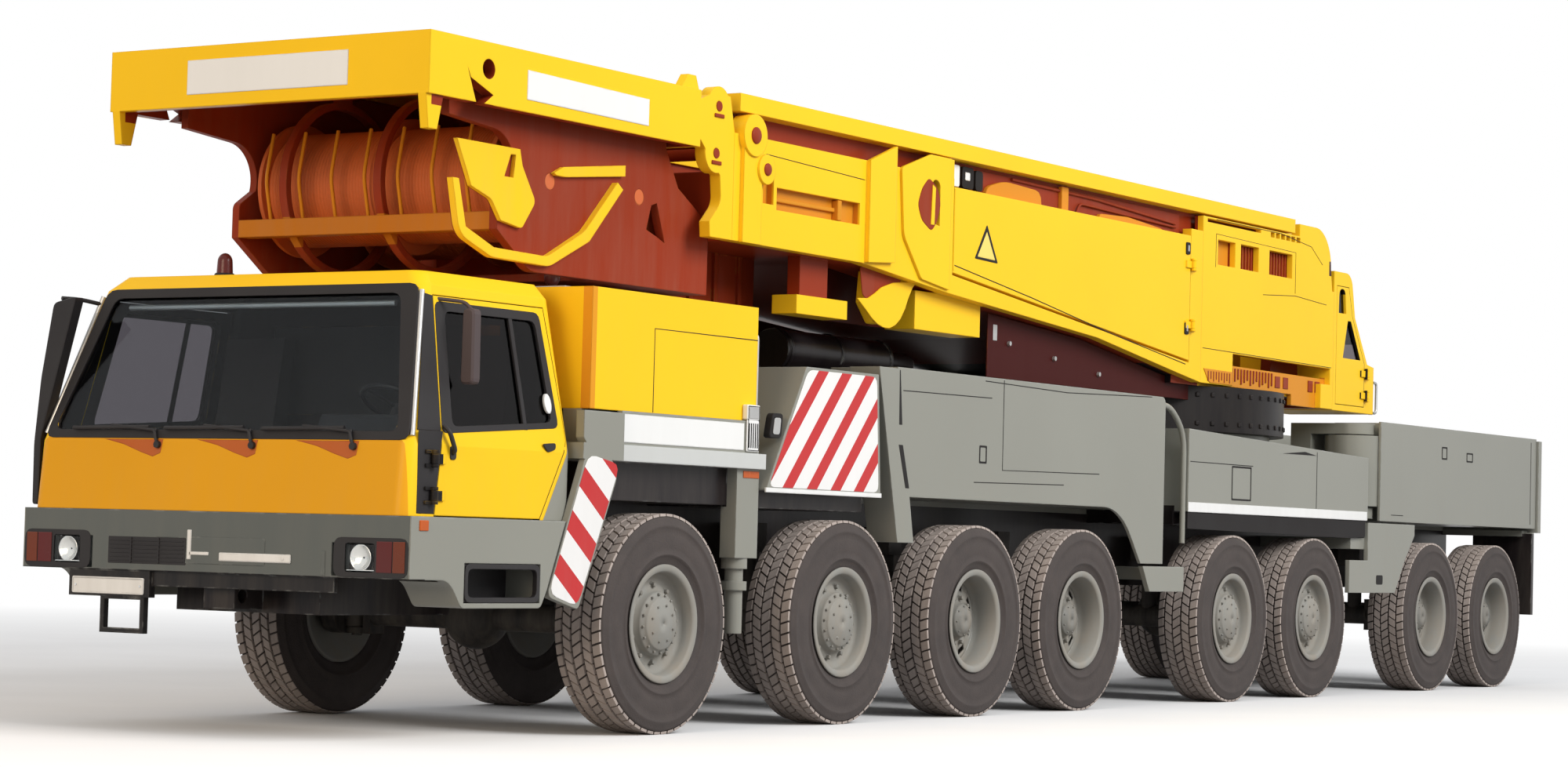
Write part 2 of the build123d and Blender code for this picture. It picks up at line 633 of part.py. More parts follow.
with BuildPart() as platform:
    plate([(house_front, wall_top)] + lower_edge + [(hood_front, wall_top)], house_inner, house_half_width)
    plate(side_opening_outline, house_inner - 10, house_half_width + 10, mode=Mode.SUBTRACT, grow=panel_gap)
    block((post_front, post_rear), (house_inner, house_half_width), (3700, post_top))
    # a channel and a curved web with its lens hole stiffen the wall ahead of the post
    plate([(5240, wall_top), (5600, post_top), (5600, 3210), (5240, 3185)], house_half_width, house_half_width + 35)
    plate([(5690, wall_top), (6100, post_top), (6400, post_top), (6400, 3080), (6000, 3130), (5740, 3420)],
          house_half_width - 1, house_half_width + 20, rounds=((5690, wall_top, 40), (5740, 3420, 150), (6000, 3130, 60)))
    plate([(6040, 3560), (6140, 3880), (6240, 3840), (6240, 3530)], house_inner - 10, house_half_width + 30,
          mode=Mode.SUBTRACT, rounds=((6140, 3880, 60), (6240, 3840, 50)))
    # the long pocket and the short one by the front post
    block((4090, 5160), (house_half_width - 55, house_half_width + 10), (3440, 3590), mode=Mode.SUBTRACT)
    block((3920, 4050), (house_half_width - 55, house_half_width + 10), (3470, 3740), mode=Mode.SUBTRACT)
    # the front post with its two pin bosses
    block((3640, 3860), (house_half_width - 5, house_half_width + 30), (3185, wall_top))
    for s, z, radius in ((3750, 3900, 140), (3900, 3690, 100)):
        bar_y(s, z, radius, house_inner, house_half_width + 45)
    for z in (3100, 3600):
        hinge_fixed(side_door_rear + 20, house_half_width + 24, z, 1, 1)
    # the boom trough's inner girders with the boom foot's bosses
    plate([(house_front, 3650), (house_front, 3200), (5200, 3190), (6420, 3070), (8790, 2900), (10190, 2710),
           (12900, 2700), (12900, 3300), (10100, 3650)], 500, 560)
    bar_y(boom_bore_station, boom_bore_z, 190, 470, 620)
    block((6300, 6360), (500, house_inner), (3100, 3650))
    # under the floor: a beam on its hanger, a transport hook and a box
    block((4530, 5190), (950, 1150), (under_bottom, 2910))
    block((4640, 5000), (1000, 1100), (2900, 3200))
    plate([(5430, 3180), (5400, 2920), (5540, under_bottom), (5660, under_bottom), (5900, 3020), (5960, 3130),
           (5800, 3130), (5640, 2940), (5560, 3180)], 1090, 1160, rounds=((5540, under_bottom, 60), (5660, under_bottom, 60)))
    block((6120, 7080), (900, 1150), (under_bottom, 3060))
    mirror(about=Plane.XZ)
    # the ribbed chest under the front end
    block((house_front, 4830), (-chest_half, chest_half), (2790, 3200))
    for s in (3700, 4000, 4300, 4600):
        block((s, s + 40), (-chest_half - 25, chest_half + 25), (2790, 3200))
    plate(lower_edge + [(s, z + floor_thickness) for s, z in reversed(lower_edge)], -house_inner, house_inner)
    block((house_front, house_front + 60), (-house_inner, house_inner), (3190, 3650))
    block((turntable_front, turntable_rear), (-turntable_half, turntable_half),
          (ring_top + seat_gap, turntable_top))
    bar_y(boom_bore_station, boom_bore_z, boom_bore_radius, -800, 800, mode=Mode.SUBTRACT)
save(platform.part, "platform")

# ---- hood around the mast's foot ------------------------------------------------------------------
hood_corner = 340
with BuildPart() as rear_hood:
    plate([(hood_front, hood_top), (mast_pivot - 350, hood_top), (mast_pivot - 350, mast_pivot_z + hood_corner),
           (mast_pivot, mast_pivot_z + hood_corner), (mast_pivot, mast_pivot_z), (mast_pivot + hood_corner, mast_pivot_z),
           (house_rear, 3300), (house_rear, 2905), (11270, 2915), (11270, ring_top + 20),
           (hood_front, ring_top + 20)], house_inner, house_half_width)
    bar_y(mast_pivot, mast_pivot_z, hood_corner, house_inner, house_half_width)
    # the band below the long slot stands a little further in
    plate([(11270, 2820), (house_rear, 2810), (house_rear, 2545), (12600, 2545), (12600, ring_top + 20),
           (11270, ring_top + 20)], turntable_half + 5, house_half_width - 55)
    # three windows, a row of small ones above them and the long slot under the roof's edge
    for low, high in ((10940, 11280), (11390, 11750), (11970, 12450)):
        block((low, high), (house_inner - 10, house_half_width + 10), (3645, 3855), mode=Mode.SUBTRACT)
    for i in range(6):
        block((11990 + i * 108, 12070 + i * 108), (house_inner - 10, house_half_width + 10), (3970, 4015),
              mode=Mode.SUBTRACT)
    block((10730, 11790), (house_inner - 10, house_half_width + 10), (3985, 4015), mode=Mode.SUBTRACT)
    # the marker lamp at the rear corner
    post(house_rear - 60, house_half_width - 90, 55, mast_pivot_z - 60, mast_pivot_z + 60)
    # inner lugs of the mast's foot, and its pins
    plate([(12650, 2760), (13250, 2760), (13150, 3900), (12750, 3900)], leg_inner_y - 110, leg_inner_y - 15)
    bar_y(mast_pivot, mast_pivot_z, mast_pin_radius, leg_inner_y - 110, house_half_width)
    mirror(about=Plane.XZ)
    behind_ring = slew_station + ring_radius + 40
    block((house_rear - 60, house_rear), (-house_half_width, house_half_width), (2545, 3600))
    block((behind_ring, house_rear - 60), (-house_half_width, house_half_width), (2545, turntable_top))
    block((turntable_rear, behind_ring), (-turntable_half, turntable_half), (ring_top + 5, turntable_top))
save(rear_hood.part, "rear_hood")

for side, sign in (("left", 1), ("right", -1)):
    with BuildPart() as side_door:
        plate(side_door_outline, sign * (house_half_width - 60), sign * house_half_width)
        for z in (3100, 3600):
            hinge_moving(side_door_rear + 20, sign * (house_half_width + 24), z, -1, sign)
    save(side_door.part, f"side_door_{side}")

# ---- tail with the winches -----------------------------------------------------------------------
tail_front = 350
tail_rear = 3160
tail_bottom = 3760
tail_top = 4130
tail_pins = ((3370, 4050), (3350, 3740))
with BuildPart() as tail_box:
    block((tail_front, tail_rear), (-house_half_width, house_half_width), (tail_bottom, tail_top))
    block((tail_front + 80, tail_rear - 80), (-house_half_width + 80, house_half_width - 80),
          (tail_bottom - 1, tail_top - 40), mode=Mode.SUBTRACT)
    for sign in (1, -1):
        plate([(tail_rear - 10, tail_bottom + 60), (tail_rear - 10, tail_top - 60), (3300, tail_top), (3500, tail_top),
               (house_front, 3900), (house_front, 3190), (3300, 3190), (3290, 3290), (3420, 3420), (3400, 3600)],
              sign * (house_half_width - 80), sign * house_half_width, rounds=((3420, 3420, 120),))
        for s, z in tail_pins:
            bar_y(s, z, 130, sign * (house_half_width - 80), sign * house_half_width)
            bar_y(s, z, 35, sign * (house_half_width - 90), sign * (house_half_width + 10), mode=Mode.SUBTRACT)
        # the round hole and the slanted notch in the side
        bar_y(910, 3970, 60, sign * (house_half_width - 90), sign * (house_half_width + 10), mode=Mode.SUBTRACT)
        plate([(700, 3970), (740, 3900), (960, 3820), (860, tail_bottom - 10), (800, tail_bottom - 10)],
              sign * (house_half_width - 90), sign * (house_half_width + 10), mode=Mode.SUBTRACT)
        plate([(tail_front, tail_bottom), (tail_front + 160, tail_bottom), (tail_front + 110, 3560), (tail_front + 30, 3560)],
              sign * (house_half_width - 80), sign * (house_half_width - 20))
        plate([(2960, tail_top - 1), (3160, tail_top - 1), (3120, 4220), (3030, 4220)],
              sign * (house_half_width - 80), sign * (house_half_width - 20))
save(tail_box.part, "tail_box")

winch_floor = 2830
winch_outer = winch_side_y + winch_side
hoop_radius = 560
with BuildPart() as winch_frame:
    plate([(780, tail_top - 40), (780, 3700), (1500, 3640), (1430, 3370), (1280, 3270), (1280, 3060), (1620, winch_floor),
           (house_front, winch_floor), (house_front, 3300), (3200, 3500), (3050, 3740), (3050, tail_top - 40)],
          winch_side_y, winch_outer, rounds=((1500, 3640, 230), (1280, 3270, 60), (1620, winch_floor, 200)))
    # the rope guards: a flat strap bent under each drum's near flange
    plate([(780, 3320), (860, 2990), (1180, 2880), (1760, 2870), (2170, 3060), (2520, 3420), (2460, 3460), (2120, 3120),
           (1740, 2930), (1200, 2940), (920, 3040), (840, 3320)], winch_outer - 5, winch_outer + 45,
          rounds=((860, 2990, 150), (1180, 2880, 150), (1760, 2870, 200), (2120, 3120, 150), (1740, 2930, 150)))
    # the cheek plate of the rope's lead, with its slot, and the two pull bars beside it
    plate([(830, 3560), (1450, 3560), (1480, 3460), (1640, 3230), (2090, 3360), (2080, 3400), (1680, 3330), (1490, 3080),
           (1280, 3110), (1180, 3230), (980, 3290)], winch_outer - 5, winch_outer + 30,
          rounds=((1640, 3230, 50), (1490, 3080, 40), (1180, 3230, 80)))
    plate([(1300, 3380), (1360, 3520), (1410, 3520), (1390, 3380)], winch_outer - 1, winch_outer + 40,
          mode=Mode.SUBTRACT)
    plate([(1780, 3440), (1900, 3500), (2560, 3580), (2560, 3510), (1930, 3440)], winch_outer - 5, winch_outer + 30)
    # the hole behind the second drum
    plate([(2850, 3200), (2900, 3360), (2960, 3380), (3060, 3130), (2980, 3160)], winch_side_y - 5, winch_outer + 5,
          mode=Mode.SUBTRACT)
    mirror(about=Plane.XZ)
    block((2300, house_front), (-winch_side_y, winch_side_y), (winch_floor, winch_floor + 50))
    block((3300, house_front), (-winch_side_y, winch_side_y), (winch_floor + 50, 3300))
    block((2470, house_front), (-chest_half, chest_half), (2790, winch_floor))
    # the cross bar ahead of the first drum and the hoop around its middle flange
    plate([(1280, 3060), (1280, 3170), (1390, 3150), (1390, 3060)], -winch_side_y, winch_side_y)
    for y in (-640, 120):
        bar_y(drum_stations[0], drum_z, hoop_radius, y, y + 60)
        bar_y(drum_stations[0], drum_z, hoop_radius - 45, y - 5, y + 65, mode=Mode.SUBTRACT)
        block((drum_stations[0] - 60, drum_stations[0] + 60), (y, y + 60), (drum_z + hoop_radius - 30, tail_top - 40))
    for s in drum_stations:
        bar_y(s, drum_z, drum_shaft_radius + running_gap, -leg_outer_y, leg_outer_y, mode=Mode.SUBTRACT)
save(winch_frame.part, "winch_frame")

for name, s in zip(("front", "rear"), drum_stations):
    with BuildPart() as drum:
        bar_y(s, drum_z, drum_shaft_radius, -winch_side_y - winch_side, winch_side_y + winch_side)
        bar_y(s, drum_z, drum_radius, -drum_half_width, drum_half_width)
        for y in (-drum_half_width, -15, drum_half_width - 30):
            bar_y(s, drum_z, drum_flange_radius, y, y + 30)
    save(drum.part, f"winch_drum_{name}")

# ---- mast ------------------------------------------------------------------------------------
with BuildPart() as mast:
    plate([(mast_head, mast_top - flange_depth), (mast_head, 3850), (4400, 3750), (mast_pivot, 3750),
           (mast_pivot, mast_top - flange_depth)], leg_inner_y, leg_outer_y)
    bar_y(mast_pivot, mast_pivot_z, mast_foot_radius, leg_inner_y, leg_outer_y)
    block((mast_head, flange_rear), (leg_inner_y - 30, house_half_width), (mast_top - flange_depth, mast_top))
    mirror(about=Plane.XZ)
    for s in (3900, 4500, 6500, 8500, 10500):
        bar_y(s, 3920, 70, -leg_inner_y, leg_inner_y)
    for y in (-300, 0, 300):
        bar_y(3900, 3920, 150, y - 40, y + 40)
    bar_y(mast_pivot, mast_pivot_z, mast_pin_radius + running_gap, -leg_outer_y - 5, leg_outer_y + 5, mode=Mode.SUBTRACT)
save(mast.part, "mast")

# ---- crane operator's cab ------------------------------------------------------------------------
crane_cab_rear_wall = house_rear + 0.3
crane_cab_front = 14300
crane_cab_inner_y = 420
crane_cab_bottom = 2540
crane_cab_top = 3790
crane_cab_wall = 45
crane_cab_profile = [(crane_cab_rear_wall, crane_cab_bottom), (crane_cab_front, crane_cab_bottom),
                     (crane_cab_front, 2970), (14150, 2990), (13850, 3400), (13760, crane_cab_top),
                     (crane_cab_rear_wall, crane_cab_top)]
crane_door_outline = [(13440, 2600), (14080, 2600), (14080, 2990), (13790, 3400), (13700, 3660), (13440, 3660)]
crane_hinge_station = 14100
crane_hinge_levels = (2700, 2900)

with BuildPart() as crane_cab:
    plate(crane_cab_profile, crane_cab_inner_y, house_half_width, rounds=((13760, crane_cab_top, 150),))
    plate(crane_cab_profile, crane_cab_inner_y + crane_cab_wall, house_half_width - crane_cab_wall,
          mode=Mode.SUBTRACT, grow=-crane_cab_wall)
    plate(crane_door_outline, house_half_width - crane_cab_wall - 5, house_half_width + 5,
          mode=Mode.SUBTRACT, grow=panel_gap)
    # the slanting screen
    plate([(14200, 2900), (14200, 3060), (13900, 3460), (13800, 3400), (14090, 2990), (14090, 2900)],
          crane_cab_inner_y + 70, house_half_width - 70, mode=Mode.SUBTRACT)
    for z in crane_hinge_levels:
        hinge_fixed(crane_hinge_station, house_half_width + 24, z, 1, 1)
    # the grab rail at the rear corner
    post(crane_cab_front + 40, house_half_width - 40, 18, crane_cab_bottom, 2960)
    for z in (crane_cab_bottom + 20, 2920):
        block((crane_cab_front - 5, crane_cab_front + 45), (house_half_width - 52, house_half_width - 28), (z, z + 24))
save(crane_cab.part, "crane_cab")

with BuildPart() as crane_cab_door:
    plate(crane_door_outline, house_half_width - crane_cab_wall, house_half_width)
    plate([(13480, 3420), (13490, 3640), (13620, 3640), (13650, 3420)], house_half_width - crane_cab_wall - 5,
          house_half_width + 5, mode=Mode.SUBTRACT, rounds=((13490, 3640, 60), (13620, 3640, 60)))
    plate([(13590, 3020), (13690, 3360), (13760, 3360), (13990, 3020)], house_half_width - crane_cab_wall - 5,
          house_half_width + 5, mode=Mode.SUBTRACT)
    for z in crane_hinge_levels:
        hinge_moving(crane_hinge_station, house_half_width + 24, z, -1, 1)
save(crane_cab_door.part, "crane_cab_door")
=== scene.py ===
import math
import random

import bmesh
import bpy
from mathutils import Matrix, Vector


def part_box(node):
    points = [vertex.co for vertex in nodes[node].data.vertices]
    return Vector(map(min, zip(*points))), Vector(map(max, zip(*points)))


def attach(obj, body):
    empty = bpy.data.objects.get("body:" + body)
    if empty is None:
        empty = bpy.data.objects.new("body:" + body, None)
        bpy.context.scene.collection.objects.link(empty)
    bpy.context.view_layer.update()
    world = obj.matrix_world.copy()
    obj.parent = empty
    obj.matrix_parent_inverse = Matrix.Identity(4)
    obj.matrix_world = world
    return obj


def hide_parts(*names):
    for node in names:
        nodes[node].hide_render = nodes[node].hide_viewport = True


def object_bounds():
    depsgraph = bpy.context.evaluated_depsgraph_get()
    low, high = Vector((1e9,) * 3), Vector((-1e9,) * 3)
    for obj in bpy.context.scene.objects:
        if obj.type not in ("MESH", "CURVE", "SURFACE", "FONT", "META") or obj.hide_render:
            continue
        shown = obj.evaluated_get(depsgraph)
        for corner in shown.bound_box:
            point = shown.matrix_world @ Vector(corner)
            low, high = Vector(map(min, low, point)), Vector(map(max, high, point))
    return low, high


# Heavy eight-axle mobile crane, parked with its mast folded forward over the driver's cab.
# Metres, +X forward, +Y left, +Z up, the ground at Z = 0.
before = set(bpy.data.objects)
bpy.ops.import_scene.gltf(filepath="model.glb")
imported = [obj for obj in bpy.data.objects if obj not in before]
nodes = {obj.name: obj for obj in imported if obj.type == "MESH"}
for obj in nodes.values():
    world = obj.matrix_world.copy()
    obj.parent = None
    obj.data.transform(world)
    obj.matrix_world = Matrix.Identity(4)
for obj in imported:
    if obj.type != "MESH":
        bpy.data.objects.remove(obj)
cad_low, cad_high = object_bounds()
nose_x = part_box("front_bumper")[1].x
# Points closer together than this are one.
same_place = 1e-5


def back(distance):
    """The X of a place that lies so far behind the bumper's face."""
    return nose_x - distance


# ---- Camera, floor and light ------------------------------------------------------------
# A long lens stands low, off the left front corner. The floor is pale painted concrete in a
# white studio; one broad lamp stands to the crane's left, and the room fills the rest.
camera_place = Vector((24.125, 13.621, 1.210))
camera_lens = 78.552
camera_yaw = math.radians(32.602)
camera_pitch = math.radians(2.681)
camera_roll = math.radians(1.533)

ahead = Vector((
    -math.cos(camera_yaw) * math.cos(camera_pitch),
    -math.sin(camera_yaw) * math.cos(camera_pitch),
    math.sin(camera_pitch),
))
level_right = ahead.cross(Vector((0, 0, 1))).normalized()
level_up = level_right.cross(ahead)
camera_right = level_right * math.cos(camera_roll) + level_up * math.sin(camera_roll)
camera_up = level_up * math.cos(camera_roll) - level_right * math.sin(camera_roll)
camera_data = bpy.data.cameras.new("camera")
camera_data.lens = camera_lens
camera_data.sensor_width = 36
camera_data.clip_end = 300
camera = bpy.data.objects.new("camera", camera_data)
camera.matrix_world = Matrix.Translation(camera_place) @ Matrix(
    (camera_right, camera_up, -ahead)
).transposed().to_4x4()
bpy.context.scene.collection.objects.link(camera)
bpy.context.scene.camera = camera
bpy.context.scene.view_settings.view_transform = "Standard"


bevel_samples = 4


def new_material(name):
    """An empty node material: its node tree and the link maker."""
    material = bpy.data.materials.new(name)
    material.use_nodes = True
    material.node_tree.nodes.clear()
    return material, material.node_tree


def add_node(tree, kind, inputs=(), **settings):
    """A new node with its settings, and a value or another node's output on each given input."""
    made = tree.nodes.new(kind)
    for key, value in settings.items():
        setattr(made, key, value)
    for key, value in dict(inputs).items():
        if isinstance(value, bpy.types.NodeSocket):
            tree.links.new(value, made.inputs[key])
        else:
            made.inputs[key].default_value = value
    return made


def seen_rays(tree):
    """One where a ray comes straight from the camera, a mirror or a pane."""
    rays = add_node(tree, "ShaderNodeLightPath")
    either = add_node(tree, "ShaderNodeMath",
                      {0: rays.outputs["Is Camera Ray"], 1: rays.outputs["Is Glossy Ray"]},
                      operation="MAXIMUM")
    all_three = add_node(tree, "ShaderNodeMath",
                         {0: either.outputs[0], 1: rays.outputs["Is Transmission Ray"]},
                         operation="MAXIMUM")
    return all_three.outputs[0]


def build_floor():
    """A wide floor: concrete under the crane that fades into the white of the room."""
    half = 120.0
    bpy.ops.mesh.primitive_grid_add(x_subdivisions=8, y_subdivisions=8, size=2 * half)
    floor = bpy.context.object
    floor.name = "studio_floor"
    material, tree = new_material("pale_floor")
    place = add_node(tree, "ShaderNodeTexCoord")
    spread = add_node(tree, "ShaderNodeVectorMath", {0: place.outputs["Object"]}, operation="LENGTH")
    fade = add_node(tree, "ShaderNodeMapRange",
                    {"From Min": 11.0, "From Max": 26.0, "Value": spread.outputs["Value"]})
    mottle = add_node(tree, "ShaderNodeTexNoise",
                      {"Scale": 0.7, "Detail": 6, "Vector": place.outputs["Object"]})
    tone = add_node(tree, "ShaderNodeMapRange",
                    {"To Min": 0.86, "To Max": 0.93, "Value": mottle.outputs["Fac"]})
    concrete = add_node(tree, "ShaderNodeBsdfDiffuse", {"Color": tone.outputs[0]})
    dim = add_node(tree, "ShaderNodeBsdfDiffuse", {"Color": (0.30, 0.30, 0.31, 1)})
    white = add_node(tree, "ShaderNodeEmission")
    near = add_node(tree, "ShaderNodeMixShader",
                    {0: fade.outputs[0], 1: concrete.outputs[0], 2: white.outputs[0]})
    by_ray = add_node(tree, "ShaderNodeMixShader",
                      {0: seen_rays(tree), 1: dim.outputs[0], 2: near.outputs[0]})
    add_node(tree, "ShaderNodeOutputMaterial", {"Surface": by_ray.outputs[0]})
    floor.data.materials.append(material)


build_floor()

world = bpy.data.worlds.new("studio_room")
bpy.context.scene.world = world
world.use_nodes = True
world.node_tree.nodes.clear()
room_tree = world.node_tree
room_white = add_node(room_tree, "ShaderNodeBackground", {"Color": (1, 1, 1, 1), "Strength": 1.0})
room_fill = add_node(room_tree, "ShaderNodeBackground", {"Color": (0.97, 0.98, 1.0, 1), "Strength": 0.62})
room_mix = add_node(room_tree, "ShaderNodeMixShader",
                    {0: seen_rays(room_tree), 1: room_fill.outputs[0], 2: room_white.outputs[0]})
add_node(room_tree, "ShaderNodeOutputWorld", {"Surface": room_mix.outputs[0]})

# Lamps. Columns: name, place, aim, width, power in watts, colour.
lamp_rows = (
    ("key_lamp", (3.0, 24.0, 17.0), (0.0, 0.0, 1.5), 14.0, 6900.0, (1.0, 1.0, 1.0)),
    ("front_lamp", (31.0, 2.0, 9.0), (5.0, 0.0, 1.8), 12.0, 3000.0, (1.0, 0.80, 0.58)),
)
for lamp_name, lamp_at, lamp_aim, lamp_width, lamp_power, lamp_colour in lamp_rows:
    lamp_data = bpy.data.lights.new(lamp_name, "AREA")
    lamp_data.size = lamp_width
    lamp_data.energy = lamp_power
    lamp_data.color = lamp_colour
    lamp = bpy.data.objects.new(lamp_name, lamp_data)
    lamp.location = lamp_at
    lamp.rotation_euler = (Vector(lamp_aim) - Vector(lamp_at)).to_track_quat("-Z", "Y").to_euler()
    bpy.context.scene.collection.objects.link(lamp)

# ---- Chassis frame and pedestal ------------------------------------------------------------
# The welded box frame, its deck and the slewing pedestal are sprayed with grey enamel over
# primer. Travel leaves a film of road dust low down and a paler rub along the plate edges.


def socket(group, name, kind, value=None, out=False):
    """Adds one named input or output to a shader node group."""
    made = group.interface.new_socket(name, in_out="OUTPUT" if out else "INPUT", socket_type=kind)
    if value is not None:
        made.default_value = value
    return made


def build_edge_wear():
    """A mask that is one along outer edges and broken up by noise."""
    group = bpy.data.node_groups.new("edge_wear", "ShaderNodeTree")
    socket(group, "Width", "NodeSocketFloat", 0.012)
    socket(group, "Breakup", "NodeSocketFloat", 9.0)
    socket(group, "Mask", "NodeSocketFloat", out=True)
    start = add_node(group, "NodeGroupInput")
    end = add_node(group, "NodeGroupOutput")
    rounded = add_node(group, "ShaderNodeBevel", {"Radius": start.outputs["Width"]}, samples=bevel_samples)
    flat = add_node(group, "ShaderNodeNewGeometry")
    compare = add_node(group, "ShaderNodeVectorMath",
                       {0: rounded.outputs["Normal"], 1: flat.outputs["Normal"]}, operation="DOT_PRODUCT")
    edge = add_node(group, "ShaderNodeMapRange",
                    {"From Min": 0.995, "From Max": 0.90, "Value": compare.outputs["Value"]})
    place = add_node(group, "ShaderNodeTexCoord")
    noise = add_node(group, "ShaderNodeTexNoise",
                     {"Detail": 5, "Vector": place.outputs["Object"], "Scale": start.outputs["Breakup"]})
    broken = add_node(group, "ShaderNodeMapRange",
                      {"From Min": 0.50, "From Max": 0.66, "Value": noise.outputs["Fac"]})
    both = add_node(group, "ShaderNodeMath", {0: edge.outputs[0], 1: broken.outputs[0]},
                    operation="MULTIPLY")
    group.links.new(both.outputs[0], end.inputs["Mask"])
    return group


def build_road_film():
    """Colour and roughness of enamel under road dust: more dust low down and in streaks."""
    group = bpy.data.node_groups.new("road_film", "ShaderNodeTree")
    socket(group, "Paint", "NodeSocketColor", (0.5, 0.5, 0.5, 1))
    socket(group, "Dust", "NodeSocketColor", (0.30, 0.26, 0.21, 1))
    socket(group, "Amount", "NodeSocketFloat", 0.35)
    socket(group, "Gloss", "NodeSocketFloat", 0.32)
    socket(group, "Clean Height", "NodeSocketFloat", 1.9)
    socket(group, "Color", "NodeSocketColor", out=True)
    socket(group, "Roughness", "NodeSocketFloat", out=True)
    socket(group, "Height", "NodeSocketFloat", out=True)
    start = add_node(group, "NodeGroupInput")
    end = add_node(group, "NodeGroupOutput")
    place = add_node(group, "ShaderNodeTexCoord")
    parts = add_node(group, "ShaderNodeSeparateXYZ", {0: place.outputs["Object"]})
    low_down = add_node(group, "ShaderNodeMapRange",
                        {"From Min": 0.5, "To Min": 1.0, "To Max": 0.12, "Value": parts.outputs["Z"],
                         "From Max": start.outputs["Clean Height"]})
    stretch = add_node(group, "ShaderNodeMapping",
                       {"Scale": (5.0, 5.0, 0.7), "Vector": place.outputs["Object"]})
    streaks = add_node(group, "ShaderNodeTexNoise",
                       {"Scale": 1.6, "Detail": 7, "Roughness": 0.62, "Vector": stretch.outputs[0]})
    patchy = add_node(group, "ShaderNodeMapRange",
                      {"From Min": 0.36, "From Max": 0.74, "Value": streaks.outputs["Fac"]})
    dusty = add_node(group, "ShaderNodeMath", {0: low_down.outputs[0], 1: patchy.outputs[0]},
                     operation="MULTIPLY")
    share = add_node(group, "ShaderNodeMath", {0: dusty.outputs[0], 1: start.outputs["Amount"]},
                     operation="MULTIPLY")
    tint = add_node(group, "ShaderNodeTexNoise",
                    {"Scale": 0.8, "Detail": 3, "Vector": place.outputs["Object"]})
    fade = add_node(group, "ShaderNodeHueSaturation", {"Saturation": 0.985})
    value = add_node(group, "ShaderNodeMapRange",
                     {"To Min": 0.93, "To Max": 1.05, "Value": tint.outputs["Fac"]})
    group.links.new(value.outputs[0], fade.inputs["Value"])
    group.links.new(start.outputs["Paint"], fade.inputs["Color"])
    cover = add_node(group, "ShaderNodeMix", {"Factor": share.outputs[0], "A": fade.outputs[0],
                                              "B": start.outputs["Dust"]}, data_type="RGBA")
    group.links.new(cover.outputs["Result"], end.inputs["Color"])
    duller = add_node(group, "ShaderNodeMath", {1: 0.55, 0: share.outputs[0], 2: start.outputs["Gloss"]},
                      operation="MULTIPLY_ADD")
    group.links.new(duller.outputs[0], end.inputs["Roughness"])
    peel = add_node(group, "ShaderNodeTexNoise",
                    {"Scale": 90, "Detail": 2, "Vector": place.outputs["Object"]})
    group.links.new(peel.outputs["Fac"], end.inputs["Height"])
    return group


def build_masked_off():
    """A mask that is one between two corners, the same on the left and on the right."""
    group = bpy.data.node_groups.new("masked_off", "ShaderNodeTree")
    socket(group, "Low", "NodeSocketVector")
    socket(group, "High", "NodeSocketVector")
    socket(group, "Mask", "NodeSocketFloat", out=True)
    start = add_node(group, "NodeGroupInput")
    end = add_node(group, "NodeGroupOutput")
    place = add_node(group, "ShaderNodeTexCoord")
    here = add_node(group, "ShaderNodeSeparateXYZ", {0: place.outputs["Object"]})
    low = add_node(group, "ShaderNodeSeparateXYZ", {0: start.outputs["Low"]})
    high = add_node(group, "ShaderNodeSeparateXYZ", {0: start.outputs["High"]})
    either_side = add_node(group, "ShaderNodeMath", {0: here.outputs["Y"]}, operation="ABSOLUTE")
    inside = None
    for axis in "XYZ":
        value = either_side.outputs[0] if axis == "Y" else here.outputs[axis]
        for limit, operation in ((low, "GREATER_THAN"), (high, "LESS_THAN")):
            test = add_node(group, "ShaderNodeMath", {0: value, 1: limit.outputs[axis]},
                            operation=operation)
            if inside is None:
                inside = test.outputs[0]
                continue
            both = add_node(group, "ShaderNodeMath", {0: inside, 1: test.outputs[0]}, operation="MULTIPLY")
            inside = both.outputs[0]
    group.links.new(inside, end.inputs["Mask"])
    return group


def build_lined_inside():
    """A mask that is one on faces that look towards a centre: the inside of a shell."""
    group = bpy.data.node_groups.new("lined_inside", "ShaderNodeTree")
    socket(group, "Centre", "NodeSocketVector")
    socket(group, "Mask", "NodeSocketFloat", out=True)
    start = add_node(group, "NodeGroupInput")
    end = add_node(group, "NodeGroupOutput")
    place = add_node(group, "ShaderNodeTexCoord")
    outward = add_node(group, "ShaderNodeVectorMath",
                       {0: place.outputs["Object"], 1: start.outputs["Centre"]}, operation="SUBTRACT")
    facing = add_node(group, "ShaderNodeVectorMath", {0: outward.outputs[0], 1: place.outputs["Normal"]},
                      operation="DOT_PRODUCT")
    inside = add_node(group, "ShaderNodeMath", {1: -0.05, 0: facing.outputs["Value"]},
                      operation="LESS_THAN")
    group.links.new(inside.outputs[0], end.inputs["Mask"])
    return group


edge_wear = build_edge_wear()
road_film = build_road_film()
masked_off = build_masked_off()
lined_inside = build_lined_inside()


